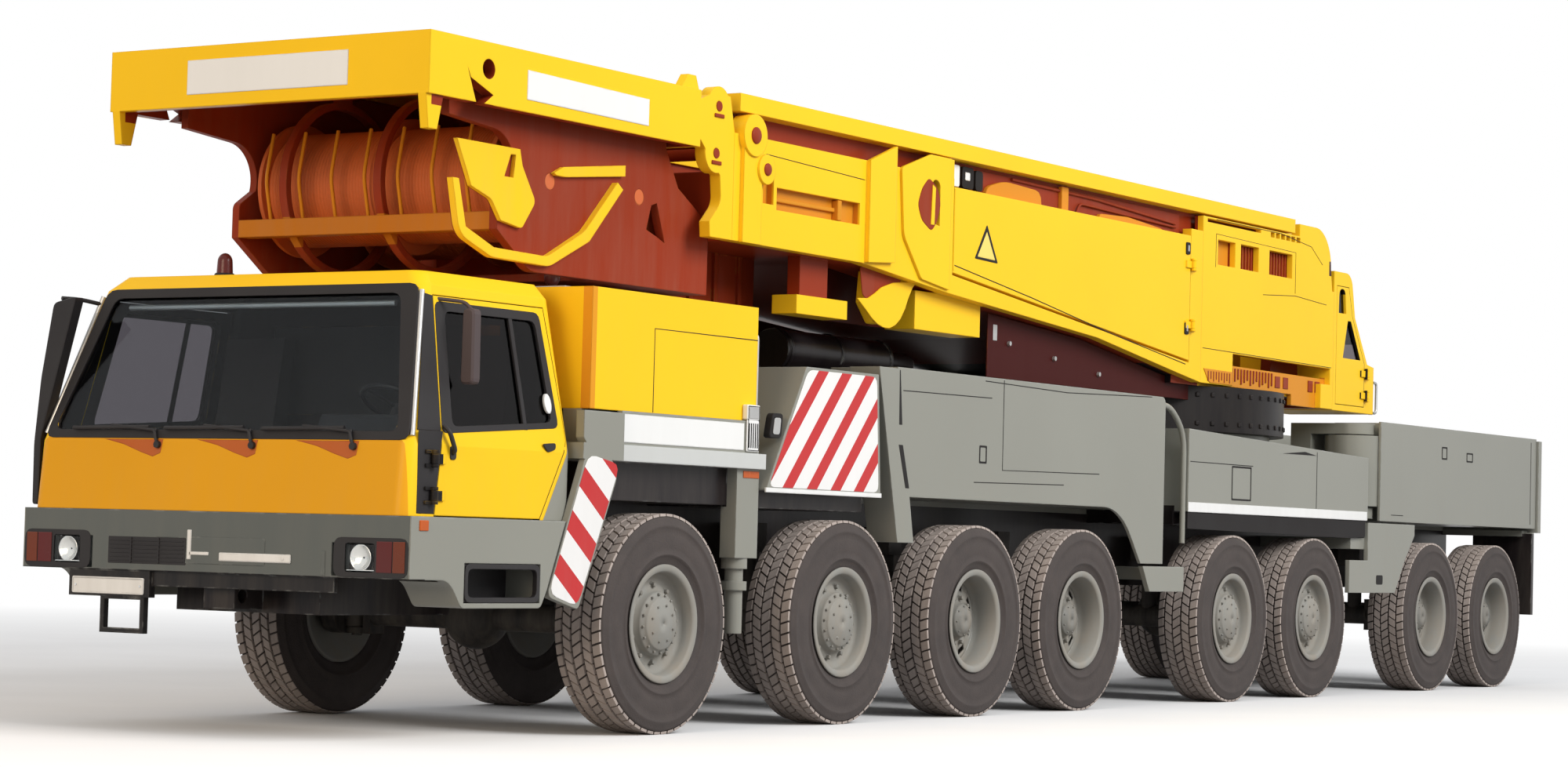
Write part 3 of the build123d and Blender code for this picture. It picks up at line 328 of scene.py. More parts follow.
def enamel(name, paint, worn, gloss=0.30, dust=0.35, clean_height=1.9, rub=0.6, coat=0.03,
           rounding=0.012, others=(), shine=0.18):
    """Sprayed enamel: rounded edges that catch the light, road film and rubbed corners.

    others are more tones on the same part: second paints, and painted shade. Columns: paint, then the two
    corners that it was masked off between on both sides, or the one centre of a shell that is painted so
    inside."""
    material, tree = new_material(name)
    film = add_node(tree, "ShaderNodeGroup", {"Paint": (*paint, 1)}, node_tree=road_film)
    last = None
    for other_paint, *where in others:
        mask = add_node(tree, "ShaderNodeGroup")
        if len(where) == 2:
            mask.node_tree = masked_off
            mask.inputs["Low"].default_value, mask.inputs["High"].default_value = where
        else:
            mask.node_tree = lined_inside
            mask.inputs["Centre"].default_value = where[0]
        tones = add_node(tree, "ShaderNodeMix", {"A": (*paint, 1)}, data_type="RGBA")
        if last:
            tree.links.new(last.outputs["Result"], tones.inputs["A"])
        tones.inputs["B"].default_value = (*other_paint, 1)
        tree.links.new(mask.outputs["Mask"], tones.inputs["Factor"])
        tree.links.new(tones.outputs["Result"], film.inputs["Paint"])
        last = tones
    film.inputs["Amount"].default_value = dust
    film.inputs["Gloss"].default_value = gloss
    film.inputs["Clean Height"].default_value = clean_height
    rubbed = add_node(tree, "ShaderNodeGroup", {"Width": rounding * 1.3}, node_tree=edge_wear)
    amount = add_node(tree, "ShaderNodeMath", {1: rub, 0: rubbed.outputs["Mask"]}, operation="MULTIPLY")
    mix = add_node(tree, "ShaderNodeMix", {"B": (*worn, 1), "Factor": amount.outputs[0],
                                           "A": film.outputs["Color"]}, data_type="RGBA")
    rounded = add_node(tree, "ShaderNodeBevel", {"Radius": rounding}, samples=bevel_samples)
    skin = add_node(tree, "ShaderNodeBump",
                    {"Strength": 0.04, "Distance": 0.002, "Height": film.outputs["Height"],
                     "Normal": rounded.outputs["Normal"]})
    shader = add_node(tree, "ShaderNodeBsdfPrincipled",
                      {"Coat Weight": coat, "Specular IOR Level": shine, "Coat Roughness": 0.12,
                       "Base Color": mix.outputs["Result"], "Roughness": film.outputs["Roughness"],
                       "Normal": skin.outputs["Normal"]})
    add_node(tree, "ShaderNodeOutputMaterial", {"Surface": shader.outputs[0]})
    return material


def finish_node(name, material):
    """Gives a carried-over CAD node its finish."""
    holder = nodes[name]
    if not holder.material_slots:
        holder.data.materials.append(material)
    for slot in holder.material_slots:
        slot.material = material


grey_paint, grey_worn = (0.262, 0.262, 0.226), (0.42, 0.43, 0.41)
# Near-black, for black-painted parts and for painted shade in recesses and under the body.
near_black_and_shade = (0.011, 0.008, 0.009)
body_grey = enamel("grey_enamel", grey_paint, grey_worn)
# Below 1.52 m the frame is near-black: painted shade under the body.
frame_grey = enamel("frame_grey", grey_paint, grey_worn, dust=0.15,
                    others=[(near_black_and_shade, (back(19), -1, 0), (back(-1), 2, 1.52))])
finish_node("chassis_frame", frame_grey)

# ---- Wheels ---------------------------------------------------------------------------
# Sixteen wide single tyres with a block tread, moulded round a wire carcass, on steel
# rims pressed and welded from plate. Axles one, two, five and six are driven and end in a
# cast planetary hub; the others show a deep dish with hand holes and a small hub.
tyre_low, tyre_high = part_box("wheel_1_left")
tyre_radius = (tyre_high.z - tyre_low.z) / 2
tyre_half_width = (tyre_high.y - tyre_low.y) / 2
rim_seat = 0.345
tread_depth = 0.016
tread_pitches = 58
wheel_segments = 96


def mesh_from(name, shape):
    """The mesh of a finished shape."""
    mesh = bpy.data.meshes.new(name)
    shape.to_mesh(mesh)
    shape.free()
    return mesh


def turned(name, profile, segments=wheel_segments, closed=True):
    """A form turned about the axle, Y. The profile is a loop of (radius, distance out)."""
    shape = bmesh.new()
    rings = []
    for step in range(segments):
        angle = 2 * math.pi * step / segments
        rings.append([
            shape.verts.new((radius * math.cos(angle), out, radius * math.sin(angle)))
            for radius, out in profile
        ])
    last = len(profile) if closed else len(profile) - 1
    for step in range(segments):
        here, after = rings[step], rings[(step + 1) % segments]
        for i in range(last):
            j = (i + 1) % len(profile)
            shape.faces.new((here[i], here[j], after[j], after[i]))
    bmesh.ops.remove_doubles(shape, verts=shape.verts, dist=same_place)
    bmesh.ops.recalc_face_normals(shape, faces=shape.faces)
    for face in shape.faces:
        face.smooth = True
    return mesh_from(name, shape)


def arc_points(centre, radius, start, end, steps):
    """Points along an arc in a profile, angles in degrees."""
    points = []
    for step in range(steps + 1):
        angle = math.radians(start + (end - start) * step / steps)
        points.append((centre[0] + radius * math.cos(angle), centre[1] + radius * math.sin(angle)))
    return points


def build_ring_of_copies():
    """Geometry Nodes: a piece repeated round the axle, Y, with a small seeded wobble."""
    tree = bpy.data.node_groups.new("ring_of_copies", "GeometryNodeTree")
    socket(tree, "Geometry", "NodeSocketGeometry")
    socket(tree, "Piece", "NodeSocketObject")
    socket(tree, "Count", "NodeSocketInt", 12)
    socket(tree, "Wobble", "NodeSocketFloat", 0.0)
    socket(tree, "Seed", "NodeSocketInt", 7)
    socket(tree, "Finish", "NodeSocketMaterial")
    socket(tree, "Geometry", "NodeSocketGeometry", out=True)
    start = add_node(tree, "NodeGroupInput")
    end = add_node(tree, "NodeGroupOutput")
    points = add_node(tree, "GeometryNodePoints", {"Count": start.outputs["Count"]})
    order = add_node(tree, "GeometryNodeInputIndex")
    share = add_node(tree, "ShaderNodeMath", {0: order.outputs[0], 1: start.outputs["Count"]},
                     operation="DIVIDE")
    turn = add_node(tree, "ShaderNodeMath", {1: 2 * math.pi, 0: share.outputs[0]}, operation="MULTIPLY")
    chance = add_node(tree, "FunctionNodeRandomValue",
                      {"Seed": start.outputs["Seed"], "Max": start.outputs["Wobble"]}, data_type="FLOAT")
    angle = add_node(tree, "ShaderNodeMath", {0: turn.outputs[0], 1: chance.outputs["Value"]},
                     operation="ADD")
    about = add_node(tree, "ShaderNodeCombineXYZ", {"Y": angle.outputs[0]})
    piece = add_node(tree, "GeometryNodeObjectInfo", {"Object": start.outputs["Piece"]})
    copies = add_node(tree, "GeometryNodeInstanceOnPoints",
                      {"Points": points.outputs[0], "Instance": piece.outputs["Geometry"],
                       "Rotation": about.outputs[0]})
    real = add_node(tree, "GeometryNodeRealizeInstances", {0: copies.outputs[0]})
    paint = add_node(tree, "GeometryNodeSetMaterial",
                     {"Geometry": real.outputs[0], "Material": start.outputs["Finish"]})
    tree.links.new(paint.outputs[0], end.inputs["Geometry"])
    return tree


def grown_mesh(name, tree, settings):
    """Runs a Geometry Nodes tree once and returns what it makes as a plain mesh."""
    carrier_mesh = bpy.data.meshes.new(name + "_seed")
    holder = bpy.data.objects.new(name + "_seed", carrier_mesh)
    bpy.context.scene.collection.objects.link(holder)
    modifier = holder.modifiers.new("grow", "NODES")
    modifier.node_group = tree
    for item in tree.interface.items_tree:
        if item.item_type == "SOCKET" and item.in_out == "INPUT" and item.name in settings:
            modifier[item.identifier] = settings[item.name]
    evaluated = holder.evaluated_get(bpy.context.evaluated_depsgraph_get())
    mesh = bpy.data.meshes.new_from_object(evaluated)
    mesh.name = name
    holder.modifiers.remove(modifier)
    bpy.data.objects.remove(holder)
    return mesh


def loose_object(name, mesh):
    """An object at the origin that holds a mesh."""
    made = bpy.data.objects.new(name, mesh)
    bpy.context.scene.collection.objects.link(made)
    return made


def joined(name, meshes):
    """One mesh out of several, their materials kept."""
    shape = bmesh.new()
    finishes = []
    for mesh in meshes:
        first = len(shape.faces)
        shape.from_mesh(mesh)
        shape.faces.ensure_lookup_table()
        shift = len(finishes)
        finishes.extend(mesh.materials)
        for face in shape.faces[first:]:
            face.material_index += shift
    result = mesh_from(name, shape)
    for finish in finishes:
        result.materials.append(finish)
    return result


def rubber(name, base, dust, dust_share):
    """Black rubber gone brown-grey with road dust, cracked finely along the sidewall."""
    material, tree = new_material(name)
    place = add_node(tree, "ShaderNodeTexCoord")
    blotch = add_node(tree, "ShaderNodeTexNoise",
                      {"Scale": 5.5, "Detail": 8, "Roughness": 0.65, "Vector": place.outputs["Object"]})
    cover = add_node(tree, "ShaderNodeMapRange",
                     {"From Min": 0.32, "From Max": 0.72, "To Min": dust_share * 0.45, "To Max": dust_share,
                      "Value": blotch.outputs["Fac"]})
    mix = add_node(tree, "ShaderNodeMix", {"A": (*base, 1), "B": (*dust, 1), "Factor": cover.outputs[0]},
                   data_type="RGBA")
    grit = add_node(tree, "ShaderNodeTexNoise",
                    {"Scale": 120, "Detail": 3, "Vector": place.outputs["Object"]})
    cracks = add_node(tree, "ShaderNodeTexVoronoi", {"Scale": 26, "Vector": place.outputs["Object"]},
                      feature="DISTANCE_TO_EDGE")
    crack_depth = add_node(tree, "ShaderNodeMapRange",
                           {"From Max": 0.05, "Value": cracks.outputs["Distance"]})
    relief = add_node(tree, "ShaderNodeMath", {1: 0.55, 0: crack_depth.outputs[0], 2: grit.outputs["Fac"]},
                      operation="MULTIPLY_ADD")
    bump = add_node(tree, "ShaderNodeBump",
                    {"Strength": 0.35, "Distance": 0.004, "Height": relief.outputs[0]})
    shader = add_node(tree, "ShaderNodeBsdfPrincipled",
                      {"Roughness": 0.78, "Base Color": mix.outputs["Result"],
                       "Normal": bump.outputs["Normal"]})
    add_node(tree, "ShaderNodeOutputMaterial", {"Surface": shader.outputs[0]})
    return material


tyre_rubber = rubber("tyre_rubber", (0.022, 0.017, 0.016), (0.088, 0.068, 0.060), 0.50)
tread_rubber = rubber("tread_rubber", (0.200, 0.168, 0.150), (0.520, 0.440, 0.390), 0.80)
rim_grey = enamel("rim_grey", (0.27, 0.265, 0.24), (0.50, 0.50, 0.47), gloss=0.45, dust=0.75,
                  clean_height=2.4, rounding=0.006)
hub_grey = enamel("hub_grey", (0.20, 0.198, 0.18), (0.42, 0.42, 0.40), gloss=0.5, dust=0.8,
                  clean_height=2.4, rounding=0.006)
ring_of_copies = build_ring_of_copies()


def tread_pitch():
    """One pitch of the tread: five blocks across, set off from each other and skewed."""
    shape = bmesh.new()
    pitch = 2 * math.pi / tread_pitches
    top = tyre_radius - 0.0006
    foot = tyre_radius - tread_depth - 0.001
    shoulder_top = tyre_radius - 0.012
    # Columns: middle across, half width, offset round, skew, the outer edge's top radius.
    blocks = (
        (-0.150, 0.026, 0.00, 0.10, shoulder_top),
        (-0.082, 0.027, 0.50, -0.22, top),
        (-0.010, 0.031, 0.05, 0.24, top),
        (0.066, 0.029, 0.55, -0.22, top),
        (0.140, 0.030, 0.10, 0.12, top),
    )
    for middle, half, offset, skew, outer_top in blocks:
        corners = []
        for across in (-1, 1):
            for along in (-0.41, 0.41):
                angle = pitch * (along + offset + skew * across)
                high = outer_top if across * middle > 0 and abs(middle) > 0.13 else top
                for radius, share in ((high, 0.93), (foot, 1.0)):
                    y = middle + across * half * share
                    corners.append(shape.verts.new((radius * math.cos(angle), y, radius * math.sin(angle))))
        a_top, a_foot, b_top, b_foot, c_top, c_foot, d_top, d_foot = corners
        for quad in ((a_top, b_top, d_top, c_top), (a_top, a_foot, b_foot, b_top),
                     (c_top, d_top, d_foot, c_foot), (a_top, c_top, c_foot, a_foot),
                     (b_top, b_foot, d_foot, d_top)):
            face = shape.faces.new(quad)
            face.normal_update()
            outward = face.calc_center_median() - Vector((foot * 0.97, middle, 0))
            if face.normal.dot(outward) < 0:
                face.normal_flip()
    return mesh_from("tread_pitch", shape)


def tyre_profile():
    """The carcass: tread base, rounded shoulders, sidewalls with raised rings, bead."""
    base = tyre_radius - tread_depth
    shoulder = tyre_half_width - 0.022
    side = tyre_half_width - 0.002
    half = [(base, 0.0), (base, shoulder * 0.5), (base - 0.002, shoulder - 0.012)]
    half += arc_points((base - 0.022, shoulder - 0.012), 0.020, 8, 78, 5)
    half += [(0.628, side - 0.006), (0.618, side - 0.001), (0.606, side - 0.001), (0.600, side - 0.006)]
    half += [(0.560, side - 0.002), (0.520, side), (0.480, side - 0.002)]
    half += [(0.446, side - 0.008), (0.441, side - 0.002), (0.430, side - 0.002), (0.424, side - 0.012)]
    half += [(0.396, side - 0.026), (0.372, side - 0.034), (rim_seat + 0.004, side - 0.036)]
    return half + [(radius, -out) for radius, out in reversed(half[1:])]


def bolt_mesh(name, radius, height, at_radius, out, washer=0.0):
    """A hexagon nut on its washer, standing out along the axle."""
    sides = 6
    shape = bmesh.new()
    levels = [(radius + washer, 0.0), (radius + washer, 0.004), (radius, 0.004), (radius, height * 0.85),
              (radius * 0.8, height)]
    if not washer:
        levels = levels[2:]
        levels.insert(0, (radius, -0.004))
    rings = []
    for ring_radius, level in levels:
        rings.append([
            shape.verts.new((at_radius + ring_radius * math.cos(2 * math.pi * k / sides), out + level,
                             ring_radius * math.sin(2 * math.pi * k / sides)))
            for k in range(sides)
        ])
    for lower, upper in zip(rings, rings[1:]):
        for k in range(sides):
            shape.faces.new((lower[k], lower[(k + 1) % sides], upper[(k + 1) % sides], upper[k]))
    shape.faces.new(rings[-1])
    shape.faces.new(list(reversed(rings[0])))
    bmesh.ops.recalc_face_normals(shape, faces=shape.faces)
    return mesh_from(name, shape)


def ring_mesh(name, piece_mesh, count, finish, wobble=0.0):
    """A piece repeated round the axle, as one mesh."""
    piece = loose_object(name + "_piece", piece_mesh)
    mesh = grown_mesh(name, ring_of_copies, {
        "Piece": piece, "Count": count, "Wobble": wobble, "Seed": 7, "Finish": finish})
    bpy.data.objects.remove(piece)
    return mesh


def holed_disc(name, inner, outer, inner_out, outer_out, holes, hole_inner, hole_outer):
    """A dished disc with hand holes cut through it, as thick as plate."""
    segments = holes * 6
    shape = bmesh.new()
    radii = (inner, hole_inner - 0.012, hole_inner, hole_outer, hole_outer + 0.012, outer)
    rings = []
    for radius in radii:
        out = inner_out + (outer_out - inner_out) * (radius - inner) / (outer - inner)
        rings.append([
            shape.verts.new((radius * math.cos(2 * math.pi * k / segments), out,
                             radius * math.sin(2 * math.pi * k / segments)))
            for k in range(segments)
        ])
    for level, (lower, upper) in enumerate(zip(rings, rings[1:])):
        for k in range(segments):
            if level == 2 and k % 6 in (1, 2, 3):
                continue
            face = shape.faces.new((lower[k], upper[k], upper[(k + 1) % segments],
                                    lower[(k + 1) % segments]))
            face.smooth = True
    bmesh.ops.recalc_face_normals(shape, faces=shape.faces)
    mesh = mesh_from(name, shape)
    disc = loose_object(name + "_raw", mesh)
    thick = disc.modifiers.new("plate", "SOLIDIFY")
    thick.thickness = 0.014
    thick.offset = 0
    result = bpy.data.meshes.new_from_object(disc.evaluated_get(bpy.context.evaluated_depsgraph_get()))
    bpy.data.objects.remove(disc)
    result.name = name
    return result


lip_out = tyre_half_width - 0.030
lip_radius = rim_seat + 0.028
barrel = rim_seat - 0.022
rim_edge = [(rim_seat, lip_out), (lip_radius - 0.006, lip_out), (lip_radius, lip_out + 0.004),
            (lip_radius, lip_out + 0.010), (lip_radius - 0.008, lip_out + 0.014),
            (barrel + 0.012, lip_out + 0.010), (barrel, lip_out - 0.002)]
rim_back = [(barrel, -lip_out), (rim_seat, -lip_out)]

driven_profile = rim_edge + [
    (barrel - 0.002, 0.100), (barrel - 0.014, 0.082), (0.262, 0.066), (0.235, 0.078), (0.206, 0.086),
    (0.200, 0.120), (0.194, 0.132), (0.172, 0.136), (0.166, 0.150), (0.158, 0.158), (0.070, 0.168),
    (0.062, 0.171), (0.002, 0.1715), (0.002, -0.02), (0.10, -0.02)] + rim_back
plain_rim_profile = rim_edge + [(barrel - 0.002, 0.02), (barrel - 0.006, -0.012), (0.300, -0.030),
                                (0.298, -0.046), (barrel - 0.004, -0.030)] + rim_back
plain_hub_profile = [(0.196, -0.012), (0.150, 0.010), (0.128, 0.016), (0.122, 0.060), (0.116, 0.074),
                     (0.092, 0.078), (0.086, 0.092), (0.002, 0.094), (0.002, -0.03), (0.190, -0.03)]


def with_finish(mesh, finish):
    """Puts one finish on a mesh."""
    mesh.materials.clear()
    mesh.materials.append(finish)
    return mesh


tyre_mesh = joined("tyre", [
    with_finish(turned("tyre_carcass", tyre_profile()), tyre_rubber),
    ring_mesh("tread", tread_pitch(), tread_pitches, tread_rubber),
])
driven_rim = joined("driven_rim", [
    with_finish(turned("driven_disc", driven_profile), rim_grey),
    ring_mesh("driven_nuts", bolt_mesh("nut", 0.016, 0.030, 0.242, 0.072, washer=0.006), 10, hub_grey,
              0.02),
    ring_mesh("driven_studs", bolt_mesh("stud", 0.009, 0.014, 0.183, 0.134), 16, hub_grey),
    ring_mesh("driven_cap_screws", bolt_mesh("cap_screw", 0.008, 0.010, 0.118, 0.162), 8, hub_grey),
])
plain_rim = joined("plain_rim", [
    with_finish(turned("plain_barrel", plain_rim_profile), rim_grey),
    with_finish(holed_disc("plain_disc", 0.150, 0.316, 0.004, -0.030, 8, 0.222, 0.276), rim_grey),
    with_finish(turned("plain_hub", plain_hub_profile), hub_grey),
    ring_mesh("plain_nuts", bolt_mesh("nut", 0.016, 0.034, 0.168, 0.006, washer=0.006), 10, hub_grey, 0.02),
    ring_mesh("plain_cap_screws", bolt_mesh("cap_screw", 0.007, 0.010, 0.103, 0.074), 8, hub_grey),
])

driven_wheels = (1, 2, 5, 6)
spin_draw = random.Random(11)
for number in range(1, 9):
    for side, sign in (("left", 1), ("right", -1)):
        node = f"wheel_{number}_{side}"
        low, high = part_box(node)
        hub = (low + high) / 2
        turn = Matrix.Rotation(spin_draw.uniform(0, 2 * math.pi), 4, "Y")
        face_out = Matrix.Rotation(0 if sign > 0 else math.pi, 4, "Z")
        seat = Matrix.Translation(hub) @ face_out @ turn
        for name, source in (("tyre", tyre_mesh),
                             ("rim", driven_rim if number in driven_wheels else plain_rim)):
            mesh = source.copy()
            mesh.transform(seat)
            piece = loose_object(f"{name}_{number}_{side}", mesh)
            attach(piece, node)
            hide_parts(node)

# ---- Axles and steering knuckles ----------------------------------------------------------
# Cast and forged iron: beams with a swollen middle where the drive runs, brake drums, and
# knuckles on kingpins. Painted dark once, now under oil, dust and brown rust.
axle_iron = enamel("axle_iron", (0.060, 0.056, 0.053), (0.16, 0.10, 0.06), gloss=0.55, dust=0.6,
                   clean_height=1.6, rub=0.5, coat=0.0)
finish_node("axle_beams", axle_iron)
for number in (1, 2, 3, 4, 7, 8):
    for side in ("left", "right"):
        finish_node(f"knuckle_{number}_{side}", axle_iron)

# ---- Bumper, lamps and steps ---------------------------------------------------------------
# A folded steel bumper whose ends run back into the cab's boarding steps. Headlamps and
# indicators sit in black moulded recesses; a bare number plate and a towing stirrup hang
# off the right half.
half_width = cad_high.y
# A corner takes up at most this share of the shorter line beside it, and an edge that turns
# by more than this angle is eased.
longest_cut = 0.45
crease_angle = 0.7


def rectangle(first_low, first_high, second_low, second_high):
    """The corners of a rectangle in a plane, in turn."""
    return [(first_low, second_low), (first_high, second_low), (first_high, second_high),
            (first_low, second_high)]


def rounded_outline(points, radius):
    """A closed outline with each corner taken off by a short arc."""
    result = []
    count = len(points)
    for i, point in enumerate(points):
        here = Vector(point)
        before = Vector(points[i - 1]) - here
        after = Vector(points[(i + 1) % count]) - here
        reach = min(radius, before.length * longest_cut, after.length * longest_cut)
        first = here + before.normalized() * reach
        last = here + after.normalized() * reach
        for share in (0.0, 0.33, 0.67, 1.0):
            mixed = first.lerp(here, share).lerp(here.lerp(last, share), share)
            result.append(tuple(mixed))
    return result


def plate_mesh(name, outline, low, high, across="Y", edge=0.003, hole=None):
    """A plate with an outline, from low to high along one axis, its edges eased.

    across "Y" takes (X, Z) points, "X" takes (Y, Z) and "Z" takes (X, Y). hole is a
    second outline with as many points, cut right through."""
    def placed(point, level):
        if across == "Y":
            return (point[0], level, point[1])
        if across == "X":
            return (level, point[0], point[1])
        return (point[0], point[1], level)

    shape = bmesh.new()
    loops = [outline] if hole is None else [outline, hole]
    rings = [[[shape.verts.new(placed(point, level)) for point in loop] for level in (low, high)]
             for loop in loops]
    for bottom, top in rings:
        for i in range(len(bottom)):
            j = (i + 1) % len(bottom)
            shape.faces.new((bottom[i], bottom[j], top[j], top[i]))
    if hole is None:
        shape.faces.new(rings[0][0])
        shape.faces.new(rings[0][1])
    else:
        for level in (0, 1):
            outer, inner = rings[0][level], rings[1][level]
            for i in range(len(outer)):
                j = (i + 1) % len(outer)
                shape.faces.new((outer[i], outer[j], inner[j], inner[i]))
    bmesh.ops.recalc_face_normals(shape, faces=shape.faces)
    if edge:
        sharp = [e for e in shape.edges if len(e.link_faces) == 2 and e.calc_face_angle() > crease_angle]
        bmesh.ops.bevel(shape, geom=sharp, offset=edge, segments=1, affect="EDGES", clamp_overlap=True)
    return mesh_from(name, shape)


def block_mesh(name, low, high, edge=0.006):
    """A folded box between two corners with eased edges."""
    outline = [(low[0], low[2]), (high[0], low[2]), (high[0], high[2]), (low[0], high[2])]
    return plate_mesh(name, outline, low[1], high[1], "Y", edge)


def rod_mesh(name, points, radius, bend=0.0, sides=10):
    """A round bar or tube along a path, with its corners bent to a radius."""
    path = [Vector(p) for p in points]
    if bend:
        bent = [path[0]]
        for before, here, after in zip(path, path[1:], path[2:]):
            first = here + (before - here).normalized() * min(bend, (before - here).length * longest_cut)
            last = here + (after - here).normalized() * min(bend, (after - here).length * longest_cut)
            bent += [first.lerp(here, s).lerp(here.lerp(last, s), s) for s in (0, 0.25, 0.5, 0.75, 1)]
        path = bent + [path[-1]]
    curve = bpy.data.curves.new(name, "CURVE")
    curve.dimensions = "3D"
    curve.bevel_depth = radius
    curve.bevel_resolution = max(1, sides // 4)
    curve.use_fill_caps = True
    run = curve.splines.new("POLY")
    run.points.add(len(path) - 1)
    for knot, place in zip(run.points, path):
        knot.co = (*place, 1)
    holder = loose_object(name, curve)
    mesh = bpy.data.meshes.new_from_object(holder.evaluated_get(bpy.context.evaluated_depsgraph_get()))
    bpy.data.objects.remove(holder)
    for face in mesh.polygons:
        face.use_smooth = len(face.vertices) == 4
    mesh.name = name
    return mesh


def other_side(mesh):
    """The same part for the right side."""
    shape = bmesh.new()
    shape.from_mesh(mesh)
    bmesh.ops.scale(shape, vec=(1, -1, 1), verts=shape.verts)
    bmesh.ops.reverse_faces(shape, faces=shape.faces)
    result = mesh_from(mesh.name, shape)
    for finish in mesh.materials:
        result.materials.append(finish)
    return result


def both_sides(meshes):
    """A list of parts with their opposites."""
    return list(meshes) + [other_side(mesh) for mesh in meshes]


def fit(name, meshes, body, finish=None):
    """Joins meshes into one piece that rides on a body."""
    if finish is not None:
        for mesh in meshes:
            with_finish(mesh, finish)
    piece = loose_object(name, joined(name, meshes))
    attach(piece, body)
    return piece


def turned_at(name, profile, centre, facing, segments=40):
    """A form turned about the axis that faces a given way. Columns: radius, distance out."""
    mesh = turned(name, profile, segments, closed=False)
    turn = Vector((0, 1, 0)).rotation_difference(Vector(facing)).to_matrix().to_4x4()
    mesh.transform(Matrix.Translation(Vector(centre)) @ turn)
    return mesh


def glass(name, tint):
    """Clear or tinted glass or lens plastic with faint dust in its gloss."""
    clean, dusted, thin_pane_ior = 0.0, 0.05, 1.2
    material, tree = new_material(name)
    place = add_node(tree, "ShaderNodeTexCoord")
    smear = add_node(tree, "ShaderNodeTexNoise",
                     {"Scale": 3.0, "Detail": 5, "Vector": place.outputs["Object"]})
    dusty = add_node(tree, "ShaderNodeMapRange",
                     {"From Min": 0.45, "From Max": 0.8, "To Min": clean, "To Max": dusted,
                      "Value": smear.outputs["Fac"]})
    shader = add_node(tree, "ShaderNodeBsdfPrincipled",
                      {"Base Color": (*tint, 1), "Transmission Weight": 1.0, "IOR": thin_pane_ior,
                       "Roughness": dusty.outputs[0]})
    add_node(tree, "ShaderNodeOutputMaterial", {"Surface": shader.outputs[0]})
    return material


def moulded(name, colour, gloss, grain=140.0, relief=0.25, metal=0.0):
    """Moulded plastic, rubber or bare metal: fine grain and slow changes of tone."""
    material, tree = new_material(name)
    place = add_node(tree, "ShaderNodeTexCoord")
    tone = add_node(tree, "ShaderNodeTexNoise",
                    {"Scale": 2.4, "Detail": 6, "Vector": place.outputs["Object"]})
    spread = add_node(tree, "ShaderNodeMapRange",
                      {"From Min": 0.3, "From Max": 0.7, "Value": tone.outputs["Fac"]})
    mix = add_node(tree, "ShaderNodeMix", {"A": (*colour, 1), "B": (*(0.75 * c + 0.012 for c in colour), 1),
                                           "Factor": spread.outputs[0]}, data_type="RGBA")
    rough = add_node(tree, "ShaderNodeMapRange",
                     {"To Min": gloss, "To Max": min(1.0, gloss + 0.18), "Value": tone.outputs["Fac"]})
    fine = add_node(tree, "ShaderNodeTexNoise", {"Scale": grain, "Vector": place.outputs["Object"]})
    bump = add_node(tree, "ShaderNodeBump",
                    {"Strength": relief, "Distance": 0.002, "Height": fine.outputs["Fac"]})
    shader = add_node(tree, "ShaderNodeBsdfPrincipled",
                      {"Metallic": metal, "Specular IOR Level": 0.25, "Base Color": mix.outputs["Result"],
                       "Roughness": rough.outputs[0], "Normal": bump.outputs["Normal"]})
    add_node(tree, "ShaderNodeOutputMaterial", {"Surface": shader.outputs[0]})
    return material


black_paint = (0.012, 0.011, 0.012)
# The bumper's front face is a darker grey than its ends: painted shade on the face turned away from the key
# lamp. Below 0.955 m at the front it is painted black.
bumper_grey = enamel("bumper_enamel", (0.262, 0.262, 0.226), (0.42, 0.43, 0.41), gloss=0.34, dust=0.10,
                     others=[((0.112, 0.124, 0.118), (back(0.075), -1, 0.9), (back(-0.05), 1.494, 1.4)),
                             (black_paint, (back(0.14), -1, 0), (back(-0.05), 2, 0.955))])
finish_node("front_bumper", bumper_grey)
black_rubber = moulded("black_rubber", (0.014, 0.012, 0.013), 0.55)
black_plastic = moulded("black_plastic", (0.016, 0.014, 0.015), 0.42)
lamp_chrome = moulded("lamp_chrome", (0.80, 0.80, 0.78), 0.12, relief=0.05, metal=1.0)
lamp_clear = glass("lamp_glass", (0.96, 0.97, 0.97))
red_lens = moulded("red_lens", (0.11, 0.008, 0.007), 0.18, grain=60)
amber_lens = moulded("amber_lens", (0.55, 0.10, 0.010), 0.18, grain=60)
white_enamel = enamel("white_enamel", (0.80, 0.80, 0.78), (0.5, 0.5, 0.48), dust=0.25, coat=0.1)

